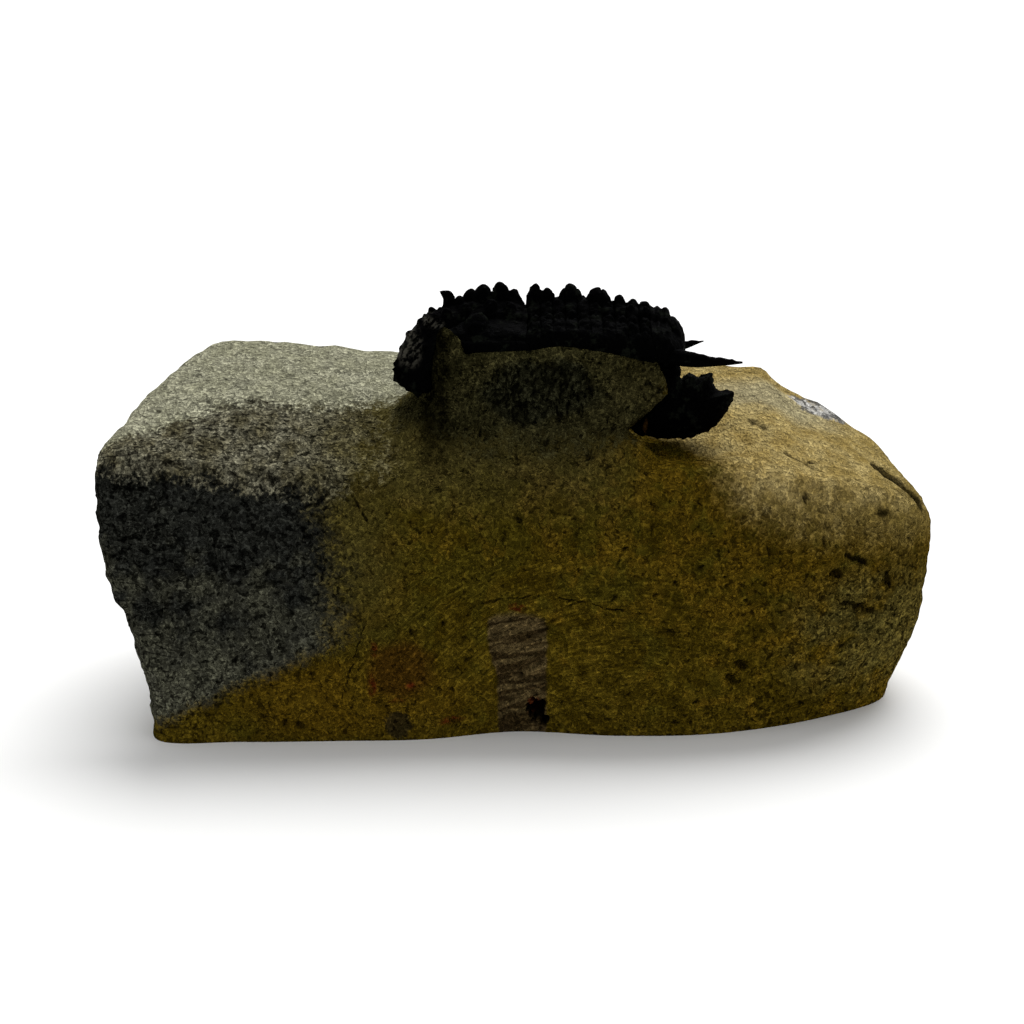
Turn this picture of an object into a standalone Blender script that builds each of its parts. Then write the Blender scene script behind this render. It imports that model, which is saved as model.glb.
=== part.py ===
"""Trilobite fossil on its block of limestone.

A spiny trilobite lies on a pedestal that was left standing when the rock around it was
cut away. It lies along X with its head at -X, bent down over the end of the pedestal, and
its tail spines at +X. A piece of a second, larger shield leans behind the pedestal's +X end.
+X is right, +Y is back and +Z is up. Every length is in millimetres until make_object(),
which writes the meshes in metres.
"""
import math

import bmesh
import bpy
import numpy as np
from mathutils import Vector, noise

MM = 0.001

# ---------------------------------------------------------------- block, driving dimensions
# Two plans of the block, anticlockwise from its front left corner: at the shoulders, where
# it is widest, and on the ground. Point n of one is above point n of the other.
SHOULDER_PLAN = [
    (-75.2, -36.5), (-57, -38.5), (-38, -38), (-18, -37.5), (2, -37.5), (23, -38),
    (45, -36.5), (66, -29), (80, -12), (77, 14), (60, 33.5), (37, 38),
    (13, 38.5), (-12, 38), (-36, 38.5), (-61, 38), (-69, 15.5), (-74.3, -13),
]
GROUND_PLAN = [
    (-66, -36.5), (-50, -38), (-33, -37.5), (-16, -36.5), (1, -32), (20, -34.5),
    (39, -33), (58.5, -24), (72.5, -10), (68, 12), (54, 30), (34, 35),
    (12, 35.5), (-11, 35), (-33, 35.5), (-53, 34), (-62, 12), (-66, -12),
]
PLAN_STEPS = 4                       # mesh points from one plan point to the next

# How far the sides have come from the ground plan (0) to the shoulders (1), by height.
LEFT_SIDE = ([0, 2, 6, 16, 22, 28, 35, 42], [0, 0, 0.07, 0.26, 0.44, 0.80, 0.96, 1.0])
RIGHT_SIDE = ([0, 4, 9, 15, 21, 27, 33], [0, 0.18, 0.42, 0.70, 0.88, 0.98, 1.0])
SIDE_LEVELS = (0, 0.04, 0.14, 0.28, 0.42, 0.55, 0.69, 0.85, 1.0)

# Height of the top along X, at the front edge and at the back edge.
TOP_FRONT = ([-76, -58, -38, -18, -4, 6, 14, 21, 31, 46, 60, 71, 80],
             [55.5, 53.0, 50.2, 48, 44.6, 43.4, 45.0, 48, 48.8, 48, 46, 43, 37.8])
TOP_BACK = ([-76, -58, -24, 0, 34, 50, 56, 65, 72, 80],
            [60.2, 61.2, 59.3, 58.2, 56.8, 56.4, 52.6, 48.9, 45.4, 38.6])
BLOCK_FRONT, BLOCK_BACK = -38, 38
# How much of the rise from front to back is near the front edge, along X (1 is even).
TOP_CURL = ([-76, -45, -18, 10, 40], [1.0, 2.2, 2.2, 1.3, 1.3])
# Places where the top sinks or swells: X, Y, radius and rise.
TOP_SWELLS = [(31.0, -10.0, 17.0, -1.9), (18.5, -22.5, 10.0, 3.4)]
# Height and width of the rounded edge of the top: along X in front, and all round the rest.
ALONG = [-76, -60, -40, -20, -6, 8, 18, 30, 45, 60, 80]
FRONT_ROUNDING = (ALONG, [4, 5, 7, 9, 10, 10, 10, 12, 15, 12, 5])
FRONT_INSET = (ALONG, [6, 10, 14, 12, 8, 8, 8, 12, 16, 13, 6])
REST_ROUNDING = 3.6
FRONT_FADE, FRONT_FADE_WIDTH = -14, 18  # Y where the front's sizes begin, and over how far
EDGE_ROOM = 0.85                     # the most it takes of the way to the pedestal
FULLNESS = 1.5                       # 1 cuts the edge off straight, 2 rounds it in an arc
EDGE_RINGS = (0.12, 0.42, 1.0)       # shares of the way over the rounded edge
FILLET_WIDTH, FILLET_RISE = 5.0, 2.0  # where the top rises to the pedestal's foot
TOP_RINGS = (0.32, 0.60, 0.82)       # rings from the edge of the top to the pedestal
ROUGHNESS = 0.55                     # height of the lumps on the stone
LUMP_SIZE = 9.0
WANDER_SHIFTS = [Vector(shift) for shift in ((9, -2, -8), (0, 30, 4), (50, 7, 11))]

# ------------------------------------------------------------- pedestal, driving dimensions
# Plans of the pedestal at its foot, at its waist and at its rim. Point n of each is on the
# way in from point n of the block's shoulders.
FOOT_PLAN = [
    (-18, -22), (-13.5, -28), (-6, -29.5), (1, -29.5), (8, -29.5), (15, -28.5),
    (19.5, -25), (21, -19), (20, -12.5), (19, -4), (17.5, 5), (13, 10.5),
    (6, 12), (-2, 12), (-9, 11), (-15, 7), (-18.5, -1), (-19, -12),
]
WAIST_PLAN = [
    (-14.4, -19.2), (-12, -22), (-7, -21.2), (0, -20.4), (8, -20), (16, -20.2),
    (24, -20.4), (28.9, -19), (28, -15.5), (22, -11), (17, -2), (13, 3),
    (6, 4), (-2, 4), (-8, 3), (-13, 0), (-15.5, -4.5), (-15.6, -12),
]
RIM_PLAN = [
    (-14.4, -20.1), (-11.8, -22.9), (-6.5, -22.2), (0.5, -21.7), (8, -21.6), (15.5, -21),
    (22.5, -19.5), (26.8, -17), (26.5, -13.5), (23.5, -9.5), (19.5, 0), (14, 4),
    (6, 5.6), (-2, 5.6), (-8, 4.5), (-12.5, 1), (-14.8, -4), (-15, -12),
]
WAIST = 0.46                         # how far up the waist is
FLARE = 1.5                          # more spreads the foot lower down
PEDESTAL_LEVELS = (0, 0.14, 0.30, 0.46, 0.72, 0.92)
LIP_RINGS = ((0.6, 0.95), (1.1, 0))  # distance in from the rim, share of the buttress left
SEAT_RINGS = (0.4, 0.78)             # rings from the lip to the pedestal's axis
BUTTRESS_X, BUTTRESS_LEFT, BUTTRESS_RIGHT = -12.9, 1.9, 4.2
BUTTRESS_BACK, BUTTRESS_HEIGHT = -18.9, 5.8

# ------------------------------------------------------------ trilobite, driving dimensions
GAP = 0.45                           # between the fossil and the stone under it
HEAD_ROOM = 1.5                      # more room over the stone, deep inside the head
FRONT_ROOM = 3.0                     # more still, behind the head's bent front
AXIS_Y = -8.0
HEAD_BACK, HEAD_LENGTH, HEAD_HALF_WIDTH = 2.5, 25.2, 14.6
HEAD_INSIDE = 0.93                   # the inside of the head as a share of its outside
HEAD_GRID = (32, 26)
SEGMENTS = 10
THORAX_FRONT, PITCH = 3.05, 2.32
JOINT = 0.3                          # between one segment and the next
TAIL_FRONT, TAIL_LENGTH, TAIL_HALF_WIDTH = 26.55, 6.3, 10.4
TAIL_GRID = (14, 7)
SEAT_CROWN = 2.5                     # how far the seat rises from the margin to the axis
MARGIN_THICK = 1.2
PLAIN_ANGLE = math.radians(9)        # flatter bends than this on the underside are merged

# Along X: half width, height of the seat at the margin, and height along the axis.
HALF_WIDTH = ([2.5, 12, 18, 26.3, 33], [14.3, 14.3, 13.3, 10.6, 8.5])
SEAT_EDGE = ([2.5, 8.7, 15.9, 20.3, 24.9, 27.2, 33], [70.9, 71.8, 70.8, 69.7, 68.3, 67.7, 66.6])
CREST = ([2.5, 4, 8.8, 13.5, 18.1, 22.8, 26.4, 29.5, 30.1, 32.4],
         [76.4, 77.0, 77.6, 77.6, 77.0, 76.5, 76.2, 75.9, 74.7, 74.4])
KNOB_ROUNDNESS = 0.75                # less is blunter
AXIAL_LOBE, AXIAL_RISE = 0.33, 2.1   # its share of the half width, and its height

# Across half a segment, as shares of the half width.
STATIONS = (0, 0.055, 0.11, 0.17, 0.24, 0.33, 0.43, 0.56, 0.70, 0.83, 0.94, 1)
SEGMENT_ROWS = ((0.0, -0.30), (0.33, 0.12), (0.67, 0.12), (1.0, -0.12))

# Knobs on the thorax: X, distance from the axis, height and radius.
AXIS_KNOBS = [(4.4, 0, 3.2, 1.7), (6.6, 0, 2.5, 1.5), (11.0, 0, 2.8, 2.5),
              (16.4, 0, 2.5, 2.6), (20.3, 0, 1.4, 1.5), (22.9, 0, 1.1, 1.3),
              (25.2, 0, 0.8, 1.2)]
SIDE_KNOB_SHARES = (0.50, 0.78)      # of the half width
SIDE_KNOB_HEIGHT, SIDE_KNOB_RADIUS = 1.0, 1.3

# Height of the head's lower edge, and of its cheeks, from its back (0) to its front (1).
HEAD_EDGE = ([0, 0.3, 0.55, 0.69, 0.735, 0.785, 0.9, 1],
             [70.9, 70.4, 69.4, 68.8, 64.5, 61.4, 61.4, 62])
CHEEK = ([0, 0.12, 0.5, 0.65, 0.8, 1], [74.3, 75.2, 75.6, 75.4, 75.8, 78])
GLABELLA_RISE, GLABELLA_HALF_WIDTH = 2.6, 0.43
HEAD_TILT = math.radians(60)         # how far forward the knobs at the very front lean
# Knobs on the head: X, distance from the axis, height and radius.
HEAD_KNOBS = [
    (0.5, -0.4, 1.9, 1.5), (-2.1, 0.3, 3.3, 2.0), (-5.5, -0.4, 2.8, 2.0),
    (-7.9, 0.8, 1.7, 1.3), (-9.9, -0.8, 1.1, 1.1), (-12.2, 0.2, 2.8, 1.3),
    (-14.6, -3.2, 1.2, 1.2), (-15.4, 2.6, 1.0, 1.2), (-4.0, -4.2, 1.3, 1.3),
    (-4.0, 4.2, 1.3, 1.3), (-8.6, -4.2, 1.2, 1.2), (-8.6, 4.2, 1.2, 1.2),
    (-0.4, -4.7, 1.2, 1.2), (-0.4, 4.7, 1.2, 1.2), (-12.4, -3.9, 1.2, 1.2),
    (-12.4, 3.9, 1.2, 1.2), (-6.6, -8.8, 2.0, 2.5), (-6.6, 8.8, 2.0, 2.5),
]
# Teeth on the head's lower edge: each tip, which draws the nearest point of the edge to it.
EDGE_TEETH = [(-22.7, -12.6, 65.2), (-21.2, -13.2, 61.9), (-17.8, -15.6, 60.5),
              (-22.6, -4.0, 63.2), (-21.2, -1.5, 60.6)]

# The tail's two long spines: points along the middle of each, with the half thickness.
NEAR_SPINE = [((29.0, -15.6, 68.2), 1.4), ((33.0, -16.0, 67.8), 1.55), ((37.0, -16.0, 67.4), 1.0),
              ((40.5, -15.8, 67.2), 0.6), ((43.1, -15.6, 67.1), 0.35)]
FAR_SPINE = [((29.0, -0.6, 67.2), 1.0), ((32.0, -0.2, 67.1), 1.1), ((34.5, 0.2, 67.6), 0.65),
             ((36.9, 0.4, 68.1), 0.15)]

# --------------------------------------------------------------- second shield, as an outline
SHIELD_OUTLINE = [
    (22.9, 53.0), (26.0, 51.8), (30.0, 51.3), (34.0, 51.7), (37.2, 52.8), (40.0, 55.4),
    (41.5, 58.3), (41.8, 60.2), (40.4, 60.2), (39.0, 60.6), (38.1, 61.9), (37.7, 63.9),
    (36.2, 63.0), (35.0, 63.2), (33.8, 63.8), (32.6, 63.0), (31.7, 63.0), (31.8, 64.6),
    (31.3, 66.0), (28.6, 66.2), (26.6, 66.3), (26.0, 64.0), (24.6, 60.8), (23.2, 57.0),
]
SHIELD_CENTRE = (30.6, 59.0)
SHIELD_Y, SHIELD_FRONT, SHIELD_BACK = -10.0, 4.4, 4.2
SHIELD_LAYERS = (1.0, 0.93, 0.76, 0.50, 0.22)

# ----------------------------------------------------------------------- material colours
LIMESTONE = (0.36, 0.30, 0.17)
SHELL_BLACK = (0.012, 0.012, 0.012)


def clamp(value, low=0.0, high=1.0):
    return max(low, min(high, value))


def smooth(value):
    """0 to 1 with level ends, for a value from 0 to 1."""
    t = clamp(value)
    return t * t * (3 - 2 * t)


def along(x, table):
    """Value at x of a table of places and values."""
    return float(np.interp(x, table[0], table[1]))


def wander(point):
    """A direction and length, up to about 1, that change smoothly from place to place."""
    return Vector([noise.noise(point + shift) for shift in WANDER_SHIFTS])


def closed_curve(points, steps):
    """Points on a smooth closed curve through all the given points."""
    count = len(points)
    curve = []
    for i in range(count):
        a, b, c, d = (Vector(points[(i + k) % count]) for k in (-1, 0, 1, 2))
        for step in range(steps):
            t = step / steps
            bend = (2 * a - 5 * b + 4 * c - d) * t ** 2 + (3 * b - a - 3 * c + d) * t ** 3
            curve.append(0.5 * (2 * b + (c - a) * t + bend))
    return curve


def grid_surface(bm, columns, rows, place):
    """A grid whose vertices go to place(u, v), u and v from 0 to 1."""
    made = bmesh.ops.create_grid(bm, x_segments=columns, y_segments=rows, size=1)
    for vert in made["verts"]:
        u = (vert.co.x + 1) / 2
        v = (vert.co.y + 1) / 2
        vert.co = place(u, v)


def loft(bm, rings):
    """A skin over closed rings of equal length."""
    count = len(rings[0])

    def place(u, v):
        ring = rings[round(v * (len(rings) - 1))]
        return ring[round(u * count) % count]

    grid_surface(bm, count, len(rings) - 1, place)
    bmesh.ops.remove_doubles(bm, verts=bm.verts, dist=1e-4)


def close_ends(bm):
    """Fill every open edge loop."""
    open_edges = [edge for edge in bm.edges if edge.is_boundary]
    bmesh.ops.holes_fill(bm, edges=open_edges, sides=0)


def nearest_side_face(bm, point):
    """The face nearest to a point, of those that look sideways."""
    point = Vector(point)
    bm.normal_update()
    faces = [face for face in bm.faces if abs(face.normal.z) < 0.6]
    return min(faces, key=lambda face: (face.calc_center_median() - point).length)


def grow(bm, face, path):
    """Draw a face out along a path of centres and half thicknesses."""
    for centre, radius in path:
        old_centre = face.calc_center_median()
        heading = (Vector(centre) - old_centre).normalized()
        face = bmesh.ops.extrude_discrete_faces(bm, faces=[face])["faces"][0]
        for vert in face.verts:
            spoke = vert.co - old_centre
            spoke -= heading * spoke.dot(heading)
            vert.co = Vector(centre) + spoke.normalized() * radius


def pull(bm, tip):
    """Draw the nearest vertex out to a point."""
    tip = Vector(tip)
    nearest = min(bm.verts, key=lambda vert: (vert.co - tip).length)
    nearest.co = tip


def knobs_height(knobs, x, offset):
    """Height that a list of knobs adds at x, at a distance from the axis."""
    height = 0.0
    for knob_x, knob_offset, tall, radius in knobs:
        distance = math.hypot(x - knob_x, offset - knob_offset) / radius
        height = max(height, tall * clamp(1 - distance ** 2) ** KNOB_ROUNDNESS)
    return height


# ------------------------------------------------------------------------ shared surfaces
def seat_height(x, y):
    """The surface that the fossil and the pedestal share, before the gap between them."""
    across = (y - AXIS_Y) / along(x, HALF_WIDTH)
    ahead = max(0.0, (HEAD_BACK - x) / (HEAD_LENGTH * HEAD_INSIDE))
    distance = math.hypot(across, ahead)
    edge = along(x, SEAT_EDGE)
    if ahead > 0:
        edge = along(ahead / max(distance, 1e-6), HEAD_EDGE)
    crown = along(x, SEAT_EDGE) + SEAT_CROWN - edge
    return edge + crown * max(0.0, 1 - distance ** 2)


def top_height(x, y):
    """Height of the block's top, without the pedestal."""
    back = clamp((y - BLOCK_FRONT) / (BLOCK_BACK - BLOCK_FRONT))
    rise = 1 - (1 - back) ** along(x, TOP_CURL)
    height = along(x, TOP_FRONT) * (1 - rise) + along(x, TOP_BACK) * rise
    for middle_x, middle_y, radius, swell in TOP_SWELLS:
        height += swell * smooth(2 - 2 * math.hypot(x - middle_x, y - middle_y) / radius)
    return height


# ------------------------------------------------------------------------------- the stone
def edge_size(x, y, along_front):
    """Height or width of the rounded edge of the top, at the shoulder."""
    front = smooth((FRONT_FADE - y) / FRONT_FADE_WIDTH)
    return along(x, along_front) * front + REST_ROUNDING * (1 - front)


def fillet(distance):
    """Rise of the top at a distance from the pedestal's foot."""
    return FILLET_RISE * clamp(1 - distance / FILLET_WIDTH) ** 2


def rim_height(x, y):
    """The edge of the pedestal's top, lower where the head bends down over it."""
    behind = smooth((-8.5 - x) / 3.5) * smooth((y - BUTTRESS_BACK) / 1.2)
    return seat_height(x, y) - GAP - FRONT_ROOM * behind


def buttress(x, y):
    """Rise of the rim at the pedestal's near left corner, beside the head."""
    width = BUTTRESS_LEFT if x < BUTTRESS_X else BUTTRESS_RIGHT
    near = smooth((BUTTRESS_BACK - y) / 1.2)
    return BUTTRESS_HEIGHT * near * clamp(1 - abs((x - BUTTRESS_X) / width) ** 2)


def side_rings(ground, shoulder):
    """Rings up the sides of the block."""
    rings = []
    for level in SIDE_LEVELS:
        ring = []
        for low, high in zip(ground, shoulder):
            z = level * (top_height(*high) - edge_size(*high, FRONT_ROUNDING))
            right = smooth((high.x + 40) / 80)
            lean = along(z, LEFT_SIDE) * (1 - right) + along(z, RIGHT_SIDE) * right
            ring.append(Vector((*low.lerp(high, lean), z)))
        rings.append(ring)
    return rings


def top_rings(shoulder, foot):
    """Rings from the shoulders over the edge of the top and in to the pedestal."""
    rings = []
    for share in EDGE_RINGS:
        ring = []
        for outer, inner in zip(shoulder, foot):
            rounding = edge_size(*outer, FRONT_ROUNDING)
            room = EDGE_ROOM * (inner - outer).length
            inset = min(edge_size(*outer, FRONT_INSET), room) * share
            point = outer + (inner - outer).normalized() * inset
            drop = rounding * (1 - (1 - (1 - share) ** FULLNESS) ** (1 / FULLNESS))
            rise = fillet((inner - point).length)
            ring.append(Vector((*point, top_height(*point) - drop + rise)))
        rings.append(ring)
    edge = [Vector(point[:2]) for point in rings[-1]]
    for share in TOP_RINGS:
        ring = []
        for outer, inner in zip(edge, foot):
            point = outer.lerp(inner, share)
            rise = fillet((inner - point).length)
            ring.append(Vector((*point, top_height(*point) + rise)))
        rings.append(ring)
    return rings


def pedestal_rings(foot, waist, rim):
    """Rings up the pedestal, from its foot over its waist to just under its rim."""
    rings = []
    for level in PEDESTAL_LEVELS:
        ring = []
        for a, b, c in zip(foot, waist, rim):
            if level < WAIST:
                out = (1 - level / WAIST) ** FLARE
                point = Vector((a.lerp(b, level / WAIST).x, b.lerp(a, out).y))
            else:
                point = b.lerp(c, (level - WAIST) / (1 - WAIST))
            low = top_height(*a) + FILLET_RISE
            high = rim_height(*c)
            ring.append(Vector((*point, low + (high - low) * level)))
        rings.append(ring)
    return rings


def seat_rings(rim):
    """The rim of the pedestal, its lip, and rings in over the top that carries the fossil."""
    rings = [[Vector((x, y, rim_height(x, y) + buttress(x, y))) for x, y in rim]]
    axis = [Vector((clamp(x, -6, 16), AXIS_Y)) for x, y in rim]
    for inset, keep in LIP_RINGS:
        ring = []
        for outer, inner in zip(rim, axis):
            point = outer + (inner - outer).normalized() * inset
            ring.append(Vector((*point, rim_height(*point) + keep * buttress(*point))))
        rings.append(ring)
    lip = [Vector(point[:2]) for point in rings[-1]]
    for share in SEAT_RINGS:
        ring = []
        for outer, inner in zip(lip, axis):
            point = outer.lerp(inner, share)
            room = HEAD_ROOM * smooth((HEAD_BACK - point.x) / 8)
            ring.append(Vector((*point, rim_height(*point) - room)))
        rings.append(ring)
    return rings


def matrix_block():
    """The block with its pedestal: one piece of limestone."""
    plans = (GROUND_PLAN, SHOULDER_PLAN, FOOT_PLAN, WAIST_PLAN, RIM_PLAN)
    ground, shoulder, foot, waist, rim = (closed_curve(plan, PLAN_STEPS) for plan in plans)
    outside = side_rings(ground, shoulder) + top_rings(shoulder, foot)
    outside += pedestal_rings(foot, waist, rim)
    for ring in outside[1:]:
        for point in ring:
            lump = wander(point / LUMP_SIZE) + 0.5 * wander(point / 3.7)
            point += lump * ROUGHNESS
    bm = bmesh.new()
    loft(bm, outside + seat_rings(rim))
    close_ends(bm)
    return make_object("matrix_block", bm, LIMESTONE, 0.9, smooth_angle=50)


# --------------------------------------------------------------------------- the trilobite
def segment_knobs(middle):
    """The knobs that can reach a segment: those on the axis, and its own pairs."""
    knobs = list(AXIS_KNOBS)
    for share in SIDE_KNOB_SHARES:
        offset = share * along(middle, HALF_WIDTH)
        for side in (-offset, offset):
            knobs.append((middle, side, SIDE_KNOB_HEIGHT, SIDE_KNOB_RADIUS))
    return knobs


def body_height(x, offset):
    """Height of the thorax and tail at x, at a distance from the axis, without knobs."""
    share = abs(offset) / along(x, HALF_WIDTH)
    margin = along(x, SEAT_EDGE) + GAP + MARGIN_THICK
    side = along(x, CREST) - AXIAL_RISE
    height = margin + (side - margin) * math.sqrt(max(0.0, 1 - share ** 3))
    lobe = math.sqrt(max(0.0, 1 - (share / AXIAL_LOBE) ** 2))
    return height + AXIAL_RISE * lobe


def thorax_segment(number):
    """One band of the thorax, from the near margin over the axis to the far margin."""
    start = THORAX_FRONT + PITCH * (number - 1) + JOINT / 2
    width = PITCH - JOINT
    knobs = segment_knobs(start + width / 2)
    rings = []
    for share in [-s for s in reversed(STATIONS[1:])] + list(STATIONS):
        ring = []
        for along_x, lift in SEGMENT_ROWS:
            x = start + width * along_x
            offset = share * along(x, HALF_WIDTH)
            z = body_height(x, offset) + lift + knobs_height(knobs, x, offset)
            ring.append(Vector((x, AXIS_Y + offset, z)))
        for x in (start + width, start):
            offset = share * along(x, HALF_WIDTH)
            ring.append(Vector((x, AXIS_Y + offset, seat_height(x, AXIS_Y + offset) + GAP)))
        rings.append(ring)
    bm = bmesh.new()
    loft(bm, rings)
    close_ends(bm)
    return make_object(f"thorax_segment_{number:02d}", bm, SHELL_BLACK, 0.35)


def half_disc(u, v):
    """A point of a square as a point of a half disc: across (-1 to 1) and ahead (0 to 1)."""
    side = 2 * u - 1
    side *= 0.65 + 0.35 * abs(side)
    return side * math.sqrt(1 - v * v / 2), v * math.sqrt(1 - side * side / 2)


def shell(bm, grid, outer, inner):
    """A closed shell over a half disc, between two surfaces given by across and ahead."""
    grid_surface(bm, *grid, lambda u, v: Vector((*half_disc(u, v), 0)))
    lower = bmesh.ops.extrude_face_region(bm, geom=bm.faces[:])["geom"]
    lower_verts = {item for item in lower if isinstance(item, bmesh.types.BMVert)}
    for vert in bm.verts:
        surface = inner if vert in lower_verts else outer
        vert.co = surface(vert.co.x, vert.co.y)
    bmesh.ops.recalc_face_normals(bm, faces=bm.faces)
    plain = [edge for edge in bm.edges if lower_verts.issuperset(edge.verts)]
    bmesh.ops.dissolve_limit(bm, angle_limit=PLAIN_ANGLE, verts=list(lower_verts), edges=plain)


def head_outer(across, ahead):
    """Outside of the head."""
    distance = min(1.0, math.hypot(across, ahead))
    edge = along(ahead / max(distance, 1e-6), HEAD_EDGE) + GAP
    width = GLABELLA_HALF_WIDTH * (1 - 0.35 * ahead ** 2)
    lobe = math.sqrt(max(0.0, 1 - (across / width) ** 2)) * smooth((1.0 - ahead) / 0.22)
    neck = smooth((ahead - 0.015) / 0.07)
    crest = along(ahead, CHEEK) + GLABELLA_RISE * lobe * (0.75 + 0.25 * neck)
    z = edge + (crest - edge) * math.sqrt(1 - distance ** 3.3)
    x = HEAD_BACK - HEAD_LENGTH * ahead
    offset = HEAD_HALF_WIDTH * across
    tilt = HEAD_TILT * smooth((ahead - 0.5) / 0.4)
    rise = knobs_height(HEAD_KNOBS, x, offset)
    return Vector((x - rise * math.sin(tilt), AXIS_Y + offset, z + rise * math.cos(tilt)))


def head_inner(across, ahead):
    """Inside of the head, just clear of the pedestal."""
    x = HEAD_BACK - HEAD_LENGTH * HEAD_INSIDE * ahead
    y = AXIS_Y + along(HEAD_BACK, HALF_WIDTH) * 0.96 * across
    return Vector((x, y, seat_height(x, y) + GAP))


def cephalon():
    """The head shield with its swollen middle, eyes and knobs."""
    bm = bmesh.new()
    shell(bm, HEAD_GRID, head_outer, head_inner)
    for tip in EDGE_TEETH:
        pull(bm, tip)
    return make_object("cephalon", bm, SHELL_BLACK, 0.35)


def tail_outer(across, ahead):
    """Outside of the tail shield; ahead runs from its joint to its end."""
    x = TAIL_FRONT + TAIL_LENGTH * ahead
    distance = min(1.0, math.hypot(across, ahead))
    edge = along(x, SEAT_EDGE) + GAP + MARGIN_THICK
    side = along(x, CREST) - AXIAL_RISE
    lobe = math.sqrt(max(0.0, 1 - (across / (AXIAL_LOBE * 1.1)) ** 2))
    z = edge + (side - edge + AXIAL_RISE * lobe) * math.sqrt(1 - distance ** 5)
    return Vector((x, AXIS_Y + TAIL_HALF_WIDTH * across, z))


def tail_inner(across, ahead):
    """Underside of the tail shield."""
    x = TAIL_FRONT + TAIL_LENGTH * 0.95 * ahead
    y = AXIS_Y + TAIL_HALF_WIDTH * 0.97 * across
    return Vector((x, y, seat_height(x, y) + GAP))


def pygidium():
    """The tail shield with its two long spines."""
    bm = bmesh.new()
    shell(bm, TAIL_GRID, tail_outer, tail_inner)
    for path in (NEAR_SPINE, FAR_SPINE):
        grow(bm, nearest_side_face(bm, path[0][0]), path[1:])
    return make_object("pygidium", bm, SHELL_BLACK, 0.35)


def second_shield():
    """The leaning piece of a second shield, with the stump that carries it."""
    centre = Vector(SHIELD_CENTRE)
    layers = [(scale, -SHIELD_FRONT) for scale in reversed(SHIELD_LAYERS)]
    layers += [(scale, SHIELD_BACK) for scale in SHIELD_LAYERS[1:]]
    rings = []
    for scale, depth in layers:
        ring = []
        for point in SHIELD_OUTLINE:
            x, z = centre.lerp(Vector(point), scale)
            y = SHIELD_Y + depth * math.sqrt(1 - scale ** 2)
            ring.append(Vector((x, y, z)))
        rings.append(ring)
    bm = bmesh.new()
    loft(bm, rings)
    close_ends(bm)
    return make_object("second_shield", bm, SHELL_BLACK, 0.5)


# ------------------------------------------------------------------------------- objects
def make_material(name, colour, roughness):
    material = bpy.data.materials.new(name)
    material.use_nodes = True
    shader = material.node_tree.nodes["Principled BSDF"]
    shader.inputs["Base Color"].default_value = (*colour, 1)
    shader.inputs["Roughness"].default_value = roughness
    shader.inputs["Metallic"].default_value = 0
    return material


def make_object(name, bm, colour, roughness, smooth_angle=40):
    """A named object with its own material, from a mesh in millimetres."""
    bmesh.ops.recalc_face_normals(bm, faces=bm.faces)
    bmesh.ops.scale(bm, vec=(MM, MM, MM), verts=bm.verts)
    mesh = bpy.data.meshes.new(name)
    bm.to_mesh(mesh)
    bm.free()
    mesh.shade_smooth()
    mesh.set_sharp_from_angle(angle=math.radians(smooth_angle))
    mesh.materials.append(make_material(name, colour, roughness))
    part = bpy.data.objects.new(name, mesh)
    bpy.context.collection.objects.link(part)
    return part


def centre_on_origin(parts):
    """Hang the parts on an empty so that the whole stands centred on the origin."""
    corners = [vert.co for part in parts for vert in part.data.vertices]
    middle = [(min(c[k] for c in corners) + max(c[k] for c in corners)) / 2 for k in (0, 1)]
    empty = bpy.data.objects.new("fossil", None)
    bpy.context.collection.objects.link(empty)
    empty.location = (-middle[0], -middle[1], 0)
    for part in parts:
        part.parent = empty


def main():
    for old in list(bpy.data.objects):
        bpy.data.objects.remove(old, do_unlink=True)
    parts = [matrix_block(), cephalon()]
    parts += [thorax_segment(number) for number in range(1, SEGMENTS + 1)]
    parts += [pygidium(), second_shield()]
    centre_on_origin(parts)


main()
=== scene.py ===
"""Trilobite fossil on its limestone block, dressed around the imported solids.

The part's own coordinates are used throughout: millimetres, +X right, +Y back and +Z up,
with the animal's head at -X. finish_piece() moves each mesh to the frame, in metres.
"""
import math
from bisect import bisect_right

import bmesh
import bpy
from bpy.props import FloatProperty, FloatVectorProperty, PointerProperty
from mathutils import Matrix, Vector, noise


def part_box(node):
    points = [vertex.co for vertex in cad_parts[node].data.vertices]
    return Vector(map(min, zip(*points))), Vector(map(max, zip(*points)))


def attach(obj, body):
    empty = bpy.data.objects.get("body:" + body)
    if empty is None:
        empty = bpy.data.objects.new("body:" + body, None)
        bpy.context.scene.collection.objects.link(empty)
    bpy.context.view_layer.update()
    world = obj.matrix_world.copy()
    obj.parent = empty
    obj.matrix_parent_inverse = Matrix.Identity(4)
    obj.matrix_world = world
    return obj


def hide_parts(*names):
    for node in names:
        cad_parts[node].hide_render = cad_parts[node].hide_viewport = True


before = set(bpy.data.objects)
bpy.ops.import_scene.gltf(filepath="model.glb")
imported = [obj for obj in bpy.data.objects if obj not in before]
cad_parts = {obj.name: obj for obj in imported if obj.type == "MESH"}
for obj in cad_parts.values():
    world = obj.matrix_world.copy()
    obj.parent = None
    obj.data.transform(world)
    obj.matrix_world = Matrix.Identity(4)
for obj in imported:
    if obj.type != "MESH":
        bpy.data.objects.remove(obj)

bl_info = {
    "name": "Trilobite fossil",
    "version": (1, 0, 0),
    "blender": (4, 5, 0),
    "location": "3D View > Sidebar > Fossil",
    "description": "Builds a spiny trilobite on the pedestal of its limestone block",
    "category": "Add Mesh",
}

MM = 0.001
BODY = "root"


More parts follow.
